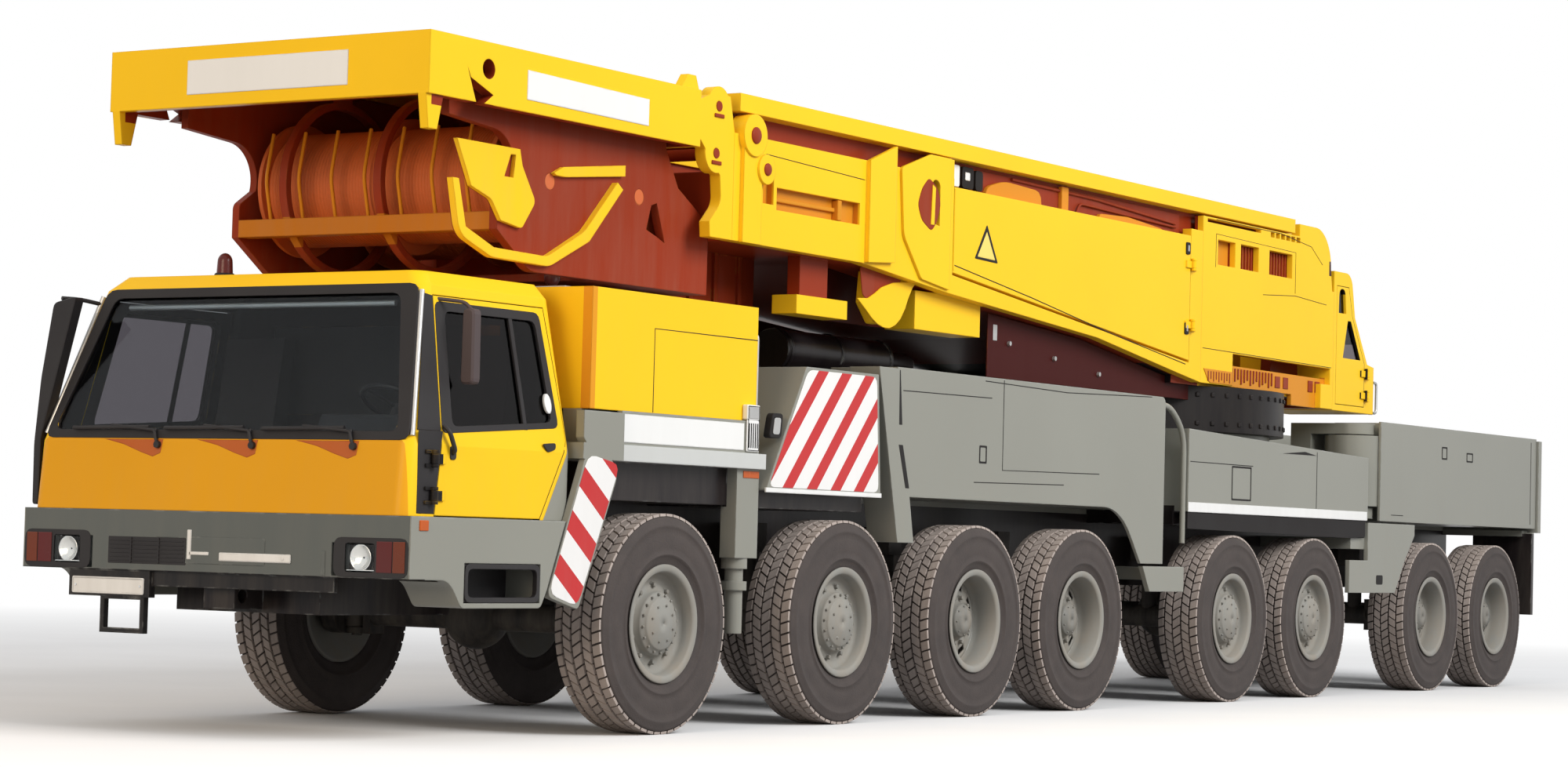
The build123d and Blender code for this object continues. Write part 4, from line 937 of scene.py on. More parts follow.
lamp_low, lamp_high = 0.956, 1.182
lens_low, lens_high = 0.985, 1.150
lamp_parts, lens_parts, chrome_parts, red_parts, amber_parts = [], [], [], [], []
for sign in (1, -1):
    surround = rectangle(sign * 0.945, sign * 1.488, lamp_low, lamp_high)
    cut = rounded_outline(rectangle(sign * 1.030, sign * 1.245, lens_low, lens_high), 0.02)
    lamp_parts.append(plate_mesh("lamp_surround", rounded_outline(surround, 0.055), back(0.004),
                                 back(-0.004), "X", 0.002, cut))
    lamp_parts.append(plate_mesh("lamp_tray", cut, back(0.048), back(0.040), "X", 0.0))
    middle = sign * 1.137
    bowl = [(0.006, -0.030), (0.030, -0.026), (0.055, -0.014), (0.070, 0.0), (0.076, 0.003),
            (0.076, -0.003)]
    chrome_parts.append(turned_at("headlamp_bowl", bowl, (back(0.010), middle, (lens_low + lens_high) / 2),
                                  (1, 0, 0)))
    low_y, high_y = sorted((sign * 1.036, sign * 1.239))
    chrome_parts.append(block_mesh("headlamp_shelf", (back(0.040), low_y, lens_low + 0.004),
                                   (back(0.006), high_y, lens_low + 0.014), 0.002))
    lens_parts.append(block_mesh("headlamp_glass", (back(0.004), low_y, lens_low + 0.006),
                                 (back(-0.003), high_y, lens_high - 0.006), 0.004))
    low_y, high_y = sorted((sign * 1.262, sign * 1.375))
    red_parts.append(block_mesh("lamp_red", (back(-0.003), low_y, lens_low),
                                (back(-0.009), high_y, lens_high + 0.012)))
    low_y, high_y = sorted((sign * 1.381, sign * 1.468))
    amber_parts.append(block_mesh("indicator_amber", (back(-0.003), low_y, lens_low),
                                  (back(-0.009), high_y, lens_high + 0.012)))
fit("headlamp_housings", lamp_parts, "carrier", black_plastic)
fit("headlamp_bowls", chrome_parts, "carrier", lamp_chrome)
fit("headlamp_lenses", lens_parts, "carrier", lamp_clear)
fit("front_red_lenses", red_parts, "carrier", red_lens)
dark_amber = moulded("dark_amber", (0.16, 0.030, 0.008), 0.18, grain=60)
fit("front_indicators", amber_parts, "carrier", dark_amber)

# The middle slot: a ribbed black grille, its left end closed by a grey plate, and beside
# it the towing flap, bare and pale, with its post.
slot_parts = [plate_mesh("slot_back", rounded_outline(rectangle(-0.80, -0.18, 0.990, 1.150),
                                                      0.006), back(0.002), back(-0.002), "X", 0.001)]
for i in range(6):
    z = 1.004 + i * 0.024
    slot_parts.append(block_mesh("slot_rib", (back(-0.001), -0.785, z), (back(-0.006), -0.20, z + 0.007),
                                 0.002))
for y in (-0.62, -0.40):
    slot_parts.append(block_mesh("slot_bar", (back(-0.001), y, 0.994), (back(-0.008), y + 0.010, 1.146),
                                 0.002))
fit("bumper_grille", slot_parts, "carrier", black_plastic)
fit("slot_cover", [plate_mesh("slot_cover", rounded_outline(rectangle(-0.185, 0.430, 1.000, 1.160), 0.01),
                              back(0.004), back(-0.002), "X", 0.001),
                   block_mesh("cover_rib", (back(0.004), 0.855, 0.958), (back(-0.004), 0.885, 1.10),
                              0.003)], "carrier", bumper_grey)
flap = [block_mesh("tow_flap", (back(0.002), 0.08, 1.02), (back(-0.009), 0.63, 1.072), 0.006),
        block_mesh("tow_flap_post", (back(0.002), -0.170, 1.025), (back(-0.008), -0.138, 1.200), 0.003),
        block_mesh("tow_flap_ledge", (back(0.002), -0.150, 1.052), (back(-0.008), 0.00, 1.072), 0.003),
        rod_mesh("tow_flap_bolt", [(back(0.0), 0.57, 1.046), (back(-0.0095), 0.57, 1.046)], 0.010)]
fit("towing_flap", flap, "carrier", white_enamel)

plate_outline = rounded_outline(rectangle(-1.09, -0.51, 0.805, 0.905), 0.012)
plate_rim = rounded_outline(rectangle(-1.082, -0.518, 0.813, 0.897), 0.010)
fit("number_plate", [
    plate_mesh("plate_sheet", plate_outline, back(0.010), back(0.006), "X", 0.001),
    plate_mesh("plate_rim", plate_outline, back(0.008), back(0.003), "X", 0.001, plate_rim),
], "carrier", white_enamel)
fit("plate_screws", [rod_mesh("plate_screw", [(back(0.006), y, 0.855), (back(0.001), y, 0.855)], 0.007)
                     for y in (-1.06, -0.54)], "carrier", lamp_chrome)

# Boarding steps: a black moulded tray with a chequered tread in each bumper end.
tray_low, tray_high = (0.505, 0.823), (1.225, 1.047)
tray = []
tray_outline = rounded_outline([(back(tray_low[0]), tray_low[1]), (back(tray_high[0]), tray_low[1]),
                                (back(tray_high[0]), tray_high[1]), (back(tray_low[0]), tray_high[1])],
                               0.05)
tray_hole = rounded_outline([(back(tray_low[0] + 0.03), tray_low[1] + 0.03),
                             (back(tray_high[0] - 0.03), tray_low[1] + 0.03),
                             (back(tray_high[0] - 0.03), tray_high[1] - 0.03),
                             (back(tray_low[0] + 0.03), tray_high[1] - 0.03)], 0.04)
tray.append(plate_mesh("step_lip", tray_outline, half_width - 0.03, half_width + 0.004, "Y", 0.003,
                       tray_hole))
tray.append(plate_mesh("step_back", tray_outline, half_width - 0.258, half_width - 0.250, "Y", 0.0))
tray.append(block_mesh("step_floor", (back(tray_high[0] - 0.005), half_width - 0.25, tray_low[1] + 0.002),
                       (back(tray_low[0] + 0.005), half_width - 0.004, tray_low[1] + 0.02)))
tray.append(block_mesh("step_roof", (back(tray_high[0] - 0.005), half_width - 0.25, tray_high[1] - 0.02),
                       (back(tray_low[0] + 0.005), half_width - 0.004, tray_high[1] - 0.002)))
for i in range(9):
    x = back(0.55 + i * 0.078)
    tray.append(block_mesh("step_stud", (x - 0.02, half_width - 0.22, tray_low[1] + 0.018),
                           (x, half_width - 0.02, tray_low[1] + 0.026), 0.003))
fit("step_trays", both_sides(tray), "carrier", black_plastic)

# Side reflectors on the bumper's ends.
fit("side_reflectors", both_sides([block_mesh("side_reflector", (back(0.155), half_width - 0.004, 1.228),
                                              (back(0.075), half_width + 0.008, 1.288), 0.004)]),
    "carrier", amber_lens)

# ---- Driver's cab -------------------------------------------------------------------------
# A welded steel cab sprayed yellow. The panes are bonded into wide black rubber; inside
# are a dark trim, two seats, a dashboard and a wheel. A bright alloy rod up each front pillar is a painted
# highlight along it.
waist_z, side_lean, front_lean = 1.72, 0.215, 0.3226
cab_half = half_width - 0.05
front_gap = 0.04


def on_side(mesh):
    """Leans a part that was made upright, so that it lies on the cab's sloping side."""
    for vertex in mesh.vertices:
        vertex.co.y -= side_lean * (vertex.co.z - waist_z)
    return mesh


def on_front(mesh):
    """Leans a part that was made upright at the bumper's face onto the sloping front."""
    for vertex in mesh.vertices:
        vertex.co.x -= front_gap + front_lean * (vertex.co.z - waist_z)
    return mesh


def side_outline(points):
    """An outline given as (distance behind the bumper, height)."""
    return [(back(s), z) for s, z in points]


yellow_paint, orange_shade = (0.93, 0.56, 0.003), (0.46, 0.10, 0.010)
# Near-black for faces inside a shell: dark trim in the cabs, and painted shade inside the engine cover.
dark_lining_and_shade = (0.022, 0.018, 0.019)


def yellow_enamel(name, others=()):
    """The crane's yellow, with any other paints on the same part."""
    return enamel(name, yellow_paint, (0.85, 0.50, 0.06), gloss=0.32, dust=0.08, rub=0.15, shine=0.06,
                  others=others)


cab_yellow = yellow_enamel("cab_yellow", [
    (dark_lining_and_shade, (back(0.85), 0, 2.05)),
    (black_paint, (back(0.32), 1.4505, 1.30), (back(0.10), 1.6, 1.80)),
    # The front panel under the screen is a deeper orange-yellow: painted shade on the front face.
    ((0.74, 0.34, 0.003), (back(0.048), -1, 1.30), (back(-0.05), 1.44, 1.75)),
])
crane_yellow = yellow_enamel("crane_yellow")
for name in ("cab_door_left", "cab_door_right"):
    finish_node(name, cab_yellow)


def merged_copy(node):
    """A carried-over part as a closed skin that can be cut: its loose triangles are joined."""
    shape = bmesh.new()
    shape.from_mesh(nodes[node].data)
    bmesh.ops.remove_doubles(shape, verts=shape.verts, dist=same_place)
    return shape


def closed_mesh(name, shape):
    """Closes the cuts in a skin and keeps it as a mesh."""
    bmesh.ops.triangle_fill(shape, use_beauty=True,
                            edges=[edge for edge in shape.edges if edge.is_boundary])
    bmesh.ops.recalc_face_normals(shape, faces=shape.faces)
    return mesh_from(name, shape)


# The roof is plain: its plugged beacon post is left off.
post_place, post_height = Vector((back(0.70), 0)), 0.130
roof_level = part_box("cab_shell")[1].z - post_height
plain_roof = merged_copy("cab_shell")
bmesh.ops.delete(plain_roof, context="FACES", geom=[
    face for face in plain_roof.faces
    if face.calc_center_median().z > roof_level + 0.0005
    and (face.calc_center_median().xy - post_place).length < 0.075])
shell = fit("cab_body", [closed_mesh("cab_body", plain_roof)], "carrier", cab_yellow)
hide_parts("cab_shell")
cab_pane = glass("cab_pane", (0.62, 0.68, 0.72))
finish_node("cab_glass", cab_pane)
cab_trim = moulded("cab_trim", (0.020, 0.016, 0.017), 0.6, grain=60, relief=0.05)
finish_node("cab_interior", cab_trim)

screen_outer = rounded_outline([(-1.400, 1.738), (1.432, 1.738), (1.232, 2.658), (-1.195, 2.658)], 0.07)
screen_inner = rounded_outline([(-1.335, 1.790), (1.335, 1.790), (1.115, 2.600), (-1.115, 2.600)], 0.06)
cab_rubber = [
    on_front(plate_mesh("screen_rubber", screen_outer, back(-0.006), back(0.006), "X", 0.003,
                        screen_inner)),
    block_mesh("screen_sill", (back(0.36), -1.27, 1.742), (back(0.10), 1.27, 1.78), 0.01),
]
pillar_rows = [(0.115, 1.80), (0.325, 1.80), (0.424, 2.59), (0.352, 2.60)]
corner_rows = [(0.105, 1.325), (0.264, 1.325), (0.325, 1.80), (0.105, 1.80)]
pillar_plates = [
    on_side(plate_mesh("pillar_black", side_outline(pillar_rows), cab_half - 0.004, cab_half + 0.004)),
    plate_mesh("corner_black", side_outline(corner_rows), cab_half - 0.004, cab_half + 0.003),
]
fit("cab_rubber", cab_rubber + both_sides(pillar_plates), "carrier", black_rubber)
# The pillar rods stand in for the highlight along each front pillar: a painted highlight. Beside them hangs
# the visor roller.
highlight_rods_and_visor = [
    rod_mesh("pillar_strip", [(back(0.085), cab_half - 0.030, 1.765),
                              (back(0.350), cab_half - 0.205, 2.615)], 0.017),
    rod_mesh("visor_roller", [(back(0.375), 0, 2.545), (back(0.375), 1.04, 2.545)], 0.018),
]
brushed_alloy = moulded("brushed_alloy", (0.52, 0.52, 0.51), 0.35, relief=0.1, metal=0.7)
fit("cab_bright_strips", both_sides(highlight_rods_and_visor), "carrier", brushed_alloy)

# The door windows: a black frame over the sheet, a dividing bar and a tinted pane.
window_outer = rounded_outline(side_outline([(0.336, 1.788), (1.478, 1.866), (1.440, 2.560),
                                             (0.436, 2.560)]), 0.05)
window_inner = rounded_outline(side_outline([(0.440, 1.832), (1.415, 1.898), (1.388, 2.505),
                                             (0.515, 2.505)]), 0.05)
window_frame = [
    on_side(plate_mesh("window_rubber", window_outer, cab_half - 0.012, cab_half + 0.004, "Y", 0.002,
                       window_inner)),
    on_side(plate_mesh("window_bar", side_outline(rectangle(1.130, 1.165, 1.84, 2.53)),
                       cab_half - 0.016, cab_half + 0.002)),
]
window_pane = [on_side(plate_mesh("window_pane", window_inner, cab_half - 0.022, cab_half - 0.016, "Y", 0))]
handle_rows = side_outline([(1.275, 1.765), (1.405, 1.775), (1.405, 1.735), (1.330, 1.715)])
handle = [plate_mesh("door_handle", rounded_outline(handle_rows, 0.02), cab_half - 0.002, cab_half + 0.010)]
oval_rows = [(back(1.400 + 0.034 * math.cos(a)), 2.010 + 0.060 * math.sin(a))
             for a in (math.tau * i / 24 for i in range(24))]
oval = [on_side(plate_mesh("window_badge", oval_rows, cab_half - 0.010, cab_half + 0.006, "Y", 0.001))]
bracket = [
    rod_mesh("mirror_foot", [(back(0.345), cab_half - 0.01, 1.835), (back(0.355), cab_half + 0.028, 1.800),
                             (back(0.405), cab_half + 0.034, 1.690),
                             (back(0.420), cab_half - 0.004, 1.675)],
             0.014, 0.03),
    plate_mesh("mirror_foot_base", rounded_outline(side_outline(rectangle(0.395, 0.450, 1.72, 1.64)), 0.02),
               cab_half - 0.002, cab_half + 0.008),
]
door_glass = glass("door_glass", (0.13, 0.11, 0.12))
for side, turn in (("left", lambda parts: parts), ("right", lambda parts: [other_side(m) for m in parts])):
    body = f"cab_door_{side}"
    fit(f"door_window_frame_{side}", turn(window_frame), body, black_rubber)
    fit(f"door_pane_{side}", turn(window_pane), body, door_glass)
    fit(f"door_handle_{side}", turn(handle + bracket), body, black_plastic)
fit("door_badge", oval, "cab_door_left", white_enamel)

# Wipers: three arms and blades at the foot of the screen, each over a pressed dish that is orange-brown
# painted shade.
shade_enamel = enamel("dish_painted_shade", orange_shade, (0.5, 0.2, 0.03), gloss=0.4, dust=0.2)
dishes, arms = [], []
for dish_end in (-0.44, 0.30, 1.06):
    start = dish_end - 0.46
    leaf = [(start, 1.732), (start + 0.16, 1.700), (start + 0.30, 1.655), (start + 0.40, 1.628),
            (dish_end, 1.650), (dish_end + 0.012, 1.732)]
    flat_front = plate_mesh("dish", leaf, back(-0.002), back(0.010), "X", 0.002)
    for vertex in flat_front.vertices:
        vertex.co.x -= front_gap * (vertex.co.z - 1.31) / (waist_z - 1.31)
    dishes.append(flat_front)
    for step in (0, 1):
        lift, reach = 1.765 + 0.022 * step, dish_end - 0.05 - 0.36 * step
        arms.append(rod_mesh("wiper_arm", [(back(0.022), dish_end - 0.02, 1.700),
                                           (back(0.028), dish_end - 0.05, lift),
                                           (back(0.042), reach, lift + 0.03)], 0.009, 0.02))
    arms.append(rod_mesh("wiper_blade", [(back(0.040), dish_end - 0.72, 1.800),
                                         (back(0.040), dish_end - 0.10, 1.806)], 0.012))
    arms.append(rod_mesh("wiper_hub", [(back(0.05), dish_end - 0.02, 1.700),
                                       (back(0.012), dish_end - 0.02, 1.700)], 0.022))
fit("screen_dishes", dishes, "carrier", shade_enamel)
fit("wipers", arms, "carrier", black_plastic)

# Inside: a raked steering wheel, a binnacle and a gear lever.
wheel_rim = bpy.data.meshes.new("steering_rim")
rim_shape = bmesh.new()
for i in range(40):
    around = math.tau * i / 40
    for j in range(8):
        tube = math.tau * j / 8
        reach = 0.225 + 0.016 * math.cos(tube)
        rim_shape.verts.new((reach * math.cos(around), reach * math.sin(around), 0.016 * math.sin(tube)))
rim_shape.verts.ensure_lookup_table()
for i in range(40):
    for j in range(8):
        ring, after = i * 8, ((i + 1) % 40) * 8
        rim_shape.faces.new([rim_shape.verts[n] for n in (ring + j, after + j, after + (j + 1) % 8,
                                                          ring + (j + 1) % 8)])
bmesh.ops.recalc_face_normals(rim_shape, faces=rim_shape.faces)
rim_shape.to_mesh(wheel_rim)
rim_shape.free()
spokes = [rod_mesh("steering_spoke", [(0, 0, -0.02), (0.22 * math.cos(a), 0.22 * math.sin(a), 0)], 0.011)
          for a in (math.radians(90), math.radians(210), math.radians(330))]
column = rod_mesh("steering_column", [(0, 0, 0.0), (0, 0, -0.34)], 0.03)
wheel_parts = [wheel_rim, column] + spokes
for part in wheel_parts:
    part.transform(Matrix.Translation((back(0.60), 0.90,
                                       1.96)) @ Matrix.Rotation(math.radians(-28), 4, "Y"))
binnacle_rows = side_outline([(0.20, 1.738), (0.47, 1.738), (0.44, 1.86), (0.26, 1.90)])
cab_fittings = wheel_parts + [
    plate_mesh("binnacle", rounded_outline(binnacle_rows, 0.03), 0.60, 1.20),
    # A black panel on the rear wall is painted shade: it hides the lit engine cover behind the rear window.
    block_mesh("rear_shade_panel", (back(1.585), -0.95, 1.90), (back(1.560), 0.70, 2.56), 0.01),
    rod_mesh("gear_lever", [(back(0.72), 0.42, 1.38), (back(0.68), 0.40, 1.80)], 0.014),
    rod_mesh("gear_knob", [(back(0.68), 0.40, 1.79), (back(0.68), 0.40, 1.85)], 0.028),
]
fit("cab_fittings", cab_fittings, "carrier", black_plastic)

# The beacon: a turned red dome on its rubber foot.
dome_rows = [(0.050, 0.000)] + [(0.046 * math.cos(a), 0.075 + 0.055 * math.sin(a))
                                for a in (math.radians(d) for d in range(0, 91, 15))]
beacon_at = (back(0.52), -0.42, 2.752)
beacon_red = moulded("beacon_red", (0.10, 0.010, 0.007), 0.15, grain=40)
fit("beacon_lens", [turned_at("beacon_dome", [(max(r, 0.0005), out) for r, out in dome_rows], beacon_at,
                              (0, 0, 1))], "carrier", beacon_red)
fit("beacon_foot",
    [turned_at("beacon_ring", [(0.0005, 0.006), (0.056, 0.006), (0.062, -0.002), (0.062, -0.012),
                               (0.0005, -0.012)], beacon_at, (0, 0, 1))], "carrier",
    black_rubber)

# The mirrors: a long black housing leans along the right front corner on two arms; the
# left one is short and hangs on the door.
mirror_arms = [
    rod_mesh("mirror_arm", [(back(0.395), -1.232, 2.560), (back(0.200), -1.300, 2.590),
                            (back(0.090), -1.345, 2.590)], 0.013, 0.05),
    rod_mesh("mirror_stay", [(back(0.110), -1.440, 1.500), (back(0.100), -1.475, 1.490)], 0.011),
]
long_head = rounded_outline([(-1.200, 2.600), (-1.385, 2.560), (-1.470, 2.100), (-1.510, 1.700),
                             (-1.506, 1.330), (-1.460, 1.330), (-1.455, 1.740), (-1.330, 2.160)], 0.03)
mirrors = fit("mirror_heads", mirror_arms
              + [plate_mesh("long_housing", long_head, back(0.140), back(0.060), "X", 0.010)], "carrier",
              black_plastic)
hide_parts("cab_mirrors")
worn_plastic = moulded("worn_plastic", (0.075, 0.052, 0.052), 0.5)
short_head = rounded_outline([(1.405, 2.080), (1.500, 2.080), (1.495, 2.520), (1.410, 2.520)], 0.035)
fit("door_mirror", [plate_mesh("short_housing", short_head, back(0.600), back(0.520), "X", 0.012),
                    rod_mesh("short_arm", [(back(0.475), 1.255, 2.575), (back(0.560), 1.400, 2.560),
                                           (back(0.560), 1.450, 2.510)], 0.011, 0.04)], "cab_door_left",
    worn_plastic)

# ---- Engine cover and front side panels ---------------------------------------------------
# A folded sheet cover over the engine, then grey side panels with the red and white
# warning bands that a wide load carrier needs. The name board on its sill is left bare.


def seam_mesh(points, level, radius=0.0035):
    """A shut line on a side face, given as (distance behind the bumper, height)."""
    return rod_mesh("seam", [(back(s), level, z) for s, z in points], radius, sides=6)


def side_plate(name, points, low, high, rounding=0.0, edge=0.002, hole=None):
    """A plate parallel to the crane's side with its corners rounded."""
    outline = rounded_outline(side_outline(points), rounding or 0.002)
    inner = rounded_outline(side_outline(hole), rounding or 0.002) if hole else None
    return plate_mesh(name, outline, low, high, "Y", edge, inner)


def side_box(name, stations, widths, heights, edge=0.006):
    """A box between two stations, widths and heights."""
    return block_mesh(name, (back(stations[1]), widths[0], heights[0]),
                      (back(stations[0]), widths[1], heights[1]), edge)


def striped(name, normal, pitch, start, share):
    """White enamel with red bands. normal is (rearward, up); start is where a band begins."""
    material, tree = new_material(name)
    place = add_node(tree, "ShaderNodeTexCoord")
    across = add_node(tree, "ShaderNodeVectorMath",
                      {1: (-normal[0] / pitch, 0, normal[1] / pitch), 0: place.outputs["Object"]},
                      operation="DOT_PRODUCT")
    begin = normal[0] * start[0] + normal[1] * start[1]
    shifted = add_node(tree, "ShaderNodeMath",
                       {1: (normal[0] * nose_x - begin) / pitch, 0: across.outputs["Value"]},
                       operation="ADD")
    part = add_node(tree, "ShaderNodeMath", {0: shifted.outputs[0]}, operation="FRACT")
    band = add_node(tree, "ShaderNodeMath", {1: share, 0: part.outputs[0]}, operation="LESS_THAN")
    paint = add_node(tree, "ShaderNodeMix", {"A": (0.82, 0.81, 0.79, 1), "B": (0.52, 0.010, 0.012, 1),
                                             "Factor": band.outputs[0]}, data_type="RGBA")
    film = add_node(tree, "ShaderNodeGroup",
                    {"Amount": 0.15, "Gloss": 0.28, "Paint": paint.outputs["Result"]}, node_tree=road_film)
    shader = add_node(tree, "ShaderNodeBsdfPrincipled",
                      {"Specular IOR Level": 0.3, "Base Color": film.outputs["Color"],
                       "Roughness": film.outputs["Roughness"]})
    add_node(tree, "ShaderNodeOutputMaterial", {"Surface": shader.outputs[0]})
    return material


light_sill = (0.55, 0.56, 0.54)
seam_black = moulded("seam_black", (0.010, 0.008, 0.008), 0.7)
# The cover's front corner is orange-yellow and its inside faces are near-black: both painted shade.
cover_yellow = yellow_enamel("cover_yellow", [
    ((0.74, 0.30, 0.008), (back(1.80), 1.38, 1.9), (back(1.70), 1.6, 2.9)),
    (dark_lining_and_shade, (back(2.65), 0, 2.0)),
])
finish_node("engine_cover", cover_yellow)
finish_node("engine_block", moulded("engine_iron", (0.05, 0.045, 0.04), 0.6, grain=30))
# The recess under the pale sill is near-black: painted shade.
panel_grey = enamel("panel_grey", grey_paint, grey_worn, dust=0.2, others=[
    (light_sill, (back(3.665), 0.9, 1.689), (back(2.052), 2, 1.792)),
    (near_black_and_shade, (back(3.63), -1, 1.44), (back(2.055), 1.385, 1.6905)),
])
finish_node("front_side_panels", panel_grey)
box_grey = enamel("box_grey", grey_paint, grey_worn, dust=0.2, others=[
    (near_black_and_shade, (back(7.0), -1, 2.40), (back(5.0), 0.9, 3)),
    (near_black_and_shade, (back(5.2), -1, 1.43), (back(3.6), 1.36, 1.558)),
])
finish_node("deck_boxes", box_grey)

flap_bands = striped("flap_bands", (0.616, 0.788), 0.278, (1.56, 1.551), 0.45)
panel_bands = striped("panel_bands", (0.743, -0.669), 0.223, (3.777, 1.485), 0.43)
flap_points = [(1.318, 0.875), (1.612, 0.798), (2.012, 1.668), (1.682, 1.722)]
panel_points = [(3.700, 1.578), (5.090, 1.578), (5.035, 2.372), (4.150, 2.372)]
fit("striped_flaps",
    both_sides([side_plate("flap_sheet", flap_points, half_width - 0.001, half_width + 0.003, 0.08)]),
    "carrier", flap_bands)
fit("striped_panels",
    both_sides([side_plate("panel_sheet", panel_points, half_width - 0.001, half_width + 0.003, 0.06)]),
    "carrier", panel_bands)
pale = [
    side_plate("name_board", rectangle(2.065, 3.415, 1.806, 1.982),
               half_width - 0.021, half_width - 0.016),
    side_plate("panel_edging", rectangle(3.665, 5.13, 1.543, 1.574),
               half_width - 0.01, half_width + 0.004),
    side_box("lamp_case", (3.435, 3.585), (cab_half + 0.001, half_width - 0.006), (2.006, 2.105)),
    side_box("lamp_case_low", (3.435, 3.585), (half_width - 0.019, half_width - 0.006), (1.800, 2.006)),
]
fit("bare_boards", both_sides(pale), "carrier", white_enamel)
dark_fittings = [
    seam_mesh([(2.42, 2.006), (2.42, 2.53), (3.597, 2.53)], cab_half),
    seam_mesh([(3.447, 2.095), (3.573, 2.095), (3.573, 1.81), (3.447, 1.81), (3.447, 2.095)],
              half_width - 0.006),
    side_plate("reflector_case", [(3.70, 1.90), (3.845, 1.90), (3.865, 2.065), (3.74, 2.065)],
               half_width - 0.06, half_width - 0.004, 0.03, 0.006),
]
for i in range(5):
    dark_fittings.append(side_box("lamp_bar", (3.452 + i * 0.025, 3.462 + i * 0.025),
                                  (half_width - 0.008, half_width - 0.003), (1.825, 1.985), 0.001))
fit("panel_fittings", both_sides(dark_fittings), "carrier", seam_black)
fit("panel_lenses", both_sides([
    side_plate("reflector", [(3.735, 1.925), (3.815, 1.925), (3.83, 2.035), (3.755, 2.035)],
               half_width - 0.005, half_width + 0.001, 0.02, 0.001),
    side_box("lamp_lens", (3.455, 3.565), (half_width - 0.007, half_width - 0.001), (2.015, 2.090), 0.003),
]), "carrier", brushed_alloy)
fit("post_reflectors",
    both_sides([side_box("post_reflector", (3.45, 3.635), (half_width - 0.041, half_width - 0.034),
                         (1.63, 1.675), 0.002)]), "carrier", amber_lens)
fit("cover_posts", both_sides([rod_mesh("cover_post", [(back(3.625), cab_half - 0.02, 1.80),
                                                       (back(3.625), cab_half - 0.02, 2.56),
                                                       (back(3.60), cab_half - 0.06, 2.60)], 0.013, 0.02)]),
    "carrier", brushed_alloy)
fit("walkway", [block_mesh("walkway_sheet", (back(3.50), -1.20, 2.746), (back(1.80), 1.20, 2.756), 0.002)]
    + [block_mesh("walkway_stud", (back(1.96 + i * 0.17), y - 0.03, 2.755),
                  (back(1.90 + i * 0.17), y + 0.03, 2.759), 0.001) for i in range(9)
       for y in (-0.9, -0.45, 0.0, 0.45, 0.9)],
    "carrier", brushed_alloy)

# ---- Outriggers, middle and rear deck ------------------------------------------------------
# Box beams behind flush grey covers with recessed grips; between them runs a pale edge
# over a near-black plate, painted shade in the recess. A bent rail guards the step behind the front beams.
# The middle deck's recess under the pale edge is near-black painted shade; the rear end is black below 1.51
# m.
for name in ("mid_deck", "rear_deck"):
    finish_node(name, enamel(f"{name}_grey", grey_paint, grey_worn, dust=0.2, others=[
        (near_black_and_shade, (back(13.70), -1, 1.44), (back(9.95), 1.36, 1.605)),
        (near_black_and_shade, (back(18.0), -1, 0.6), (back(17.8), 1.49, 1.51)),
    ]))
skin = half_width - 0.02


def grip(s, z, width, height):
    """A flush grip: a dark pressed rim and a grey flap in it."""
    outer = rectangle(s, s + width, z, z + height)
    rim = 0.014
    inner = rectangle(s + rim, s + width - rim, z + rim, z + height - rim)
    return side_plate("grip_rim", outer, skin - 0.001, skin + 0.003, 0.01, 0.001, inner)


# Columns: end of the crane, then its seams, grips and dark slits.
beam_rows = (
    ("front", [[(6.88, 2.45), (6.88, 1.79), (8.42, 1.81)], [(5.43, 2.30), (6.70, 2.31)],
               [(6.46, 1.69), (7.84, 1.71)], [(6.60, 2.43), (7.87, 2.41), (9.30, 2.45)]],
     [(6.53, 1.83, 0.11, 0.13)], [[(5.375, 2.44), (5.385, 2.44), (5.425, 2.06), (5.385, 2.06)],
                                  [(5.385, 1.92), (5.44, 1.92), (5.54, 1.62), (5.49, 1.62)]]),
    ("rear", [[(14.22, 1.62), (14.50, 1.62)], [(17.80, 2.42), (17.80, 1.60)]],
     [(15.43, 2.17, 0.13, 0.12), (16.06, 2.165, 0.16, 0.09)],
     []),
)
for end, seams, grips, slits in beam_rows:
    marks = [seam_mesh(points, skin) for points in seams] + [grip(*row) for row in grips]
    marks += [side_plate("slit", points, skin - 0.001, skin + 0.002, 0, 0.0005) for points in slits]
    for side, turn in (("left", lambda parts: parts),
                       ("right", lambda parts: [other_side(m) for m in parts])):
        beam = f"outrigger_{end}_{side}"
        finish_node(beam, body_grey)
        fit(f"{beam}_marks", turn(marks), beam, seam_black)

deck_marks = [
    seam_mesh([(12.54, 1.64), (12.54, 2.13)], skin),
    seam_mesh([(10.02, 1.965), (11.22, 1.965)], skin),
    grip(10.81, 1.67, 0.38, 0.285),
    side_plate("deck_notch", [(11.82, 2.095), (12.28, 2.125), (12.52, 2.100)], skin - 0.001, skin + 0.003,
               0.01, 0.001),
    # A near-black plate in the recess under the pale edge: painted shade.
    side_plate("deck_shade_plate", [(10.0, 1.552), (13.64, 1.552), (13.64, 1.41), (13.30, 1.395), (10.0, 1.42)],
               skin - 0.05, skin - 0.004, 0.01),
    side_plate("skirt_hole", rectangle(13.90, 14.05, 0.985, 1.07), skin - 0.001, skin + 0.002, 0.02, 0.001),
]
fit("deck_marks", both_sides(deck_marks), "carrier", seam_black)
fit("deck_edging", both_sides([side_plate("deck_edge", rectangle(9.995, 13.66, 1.556, 1.636),
                                          skin - 0.002, skin + 0.004)]), "carrier",
    white_enamel)
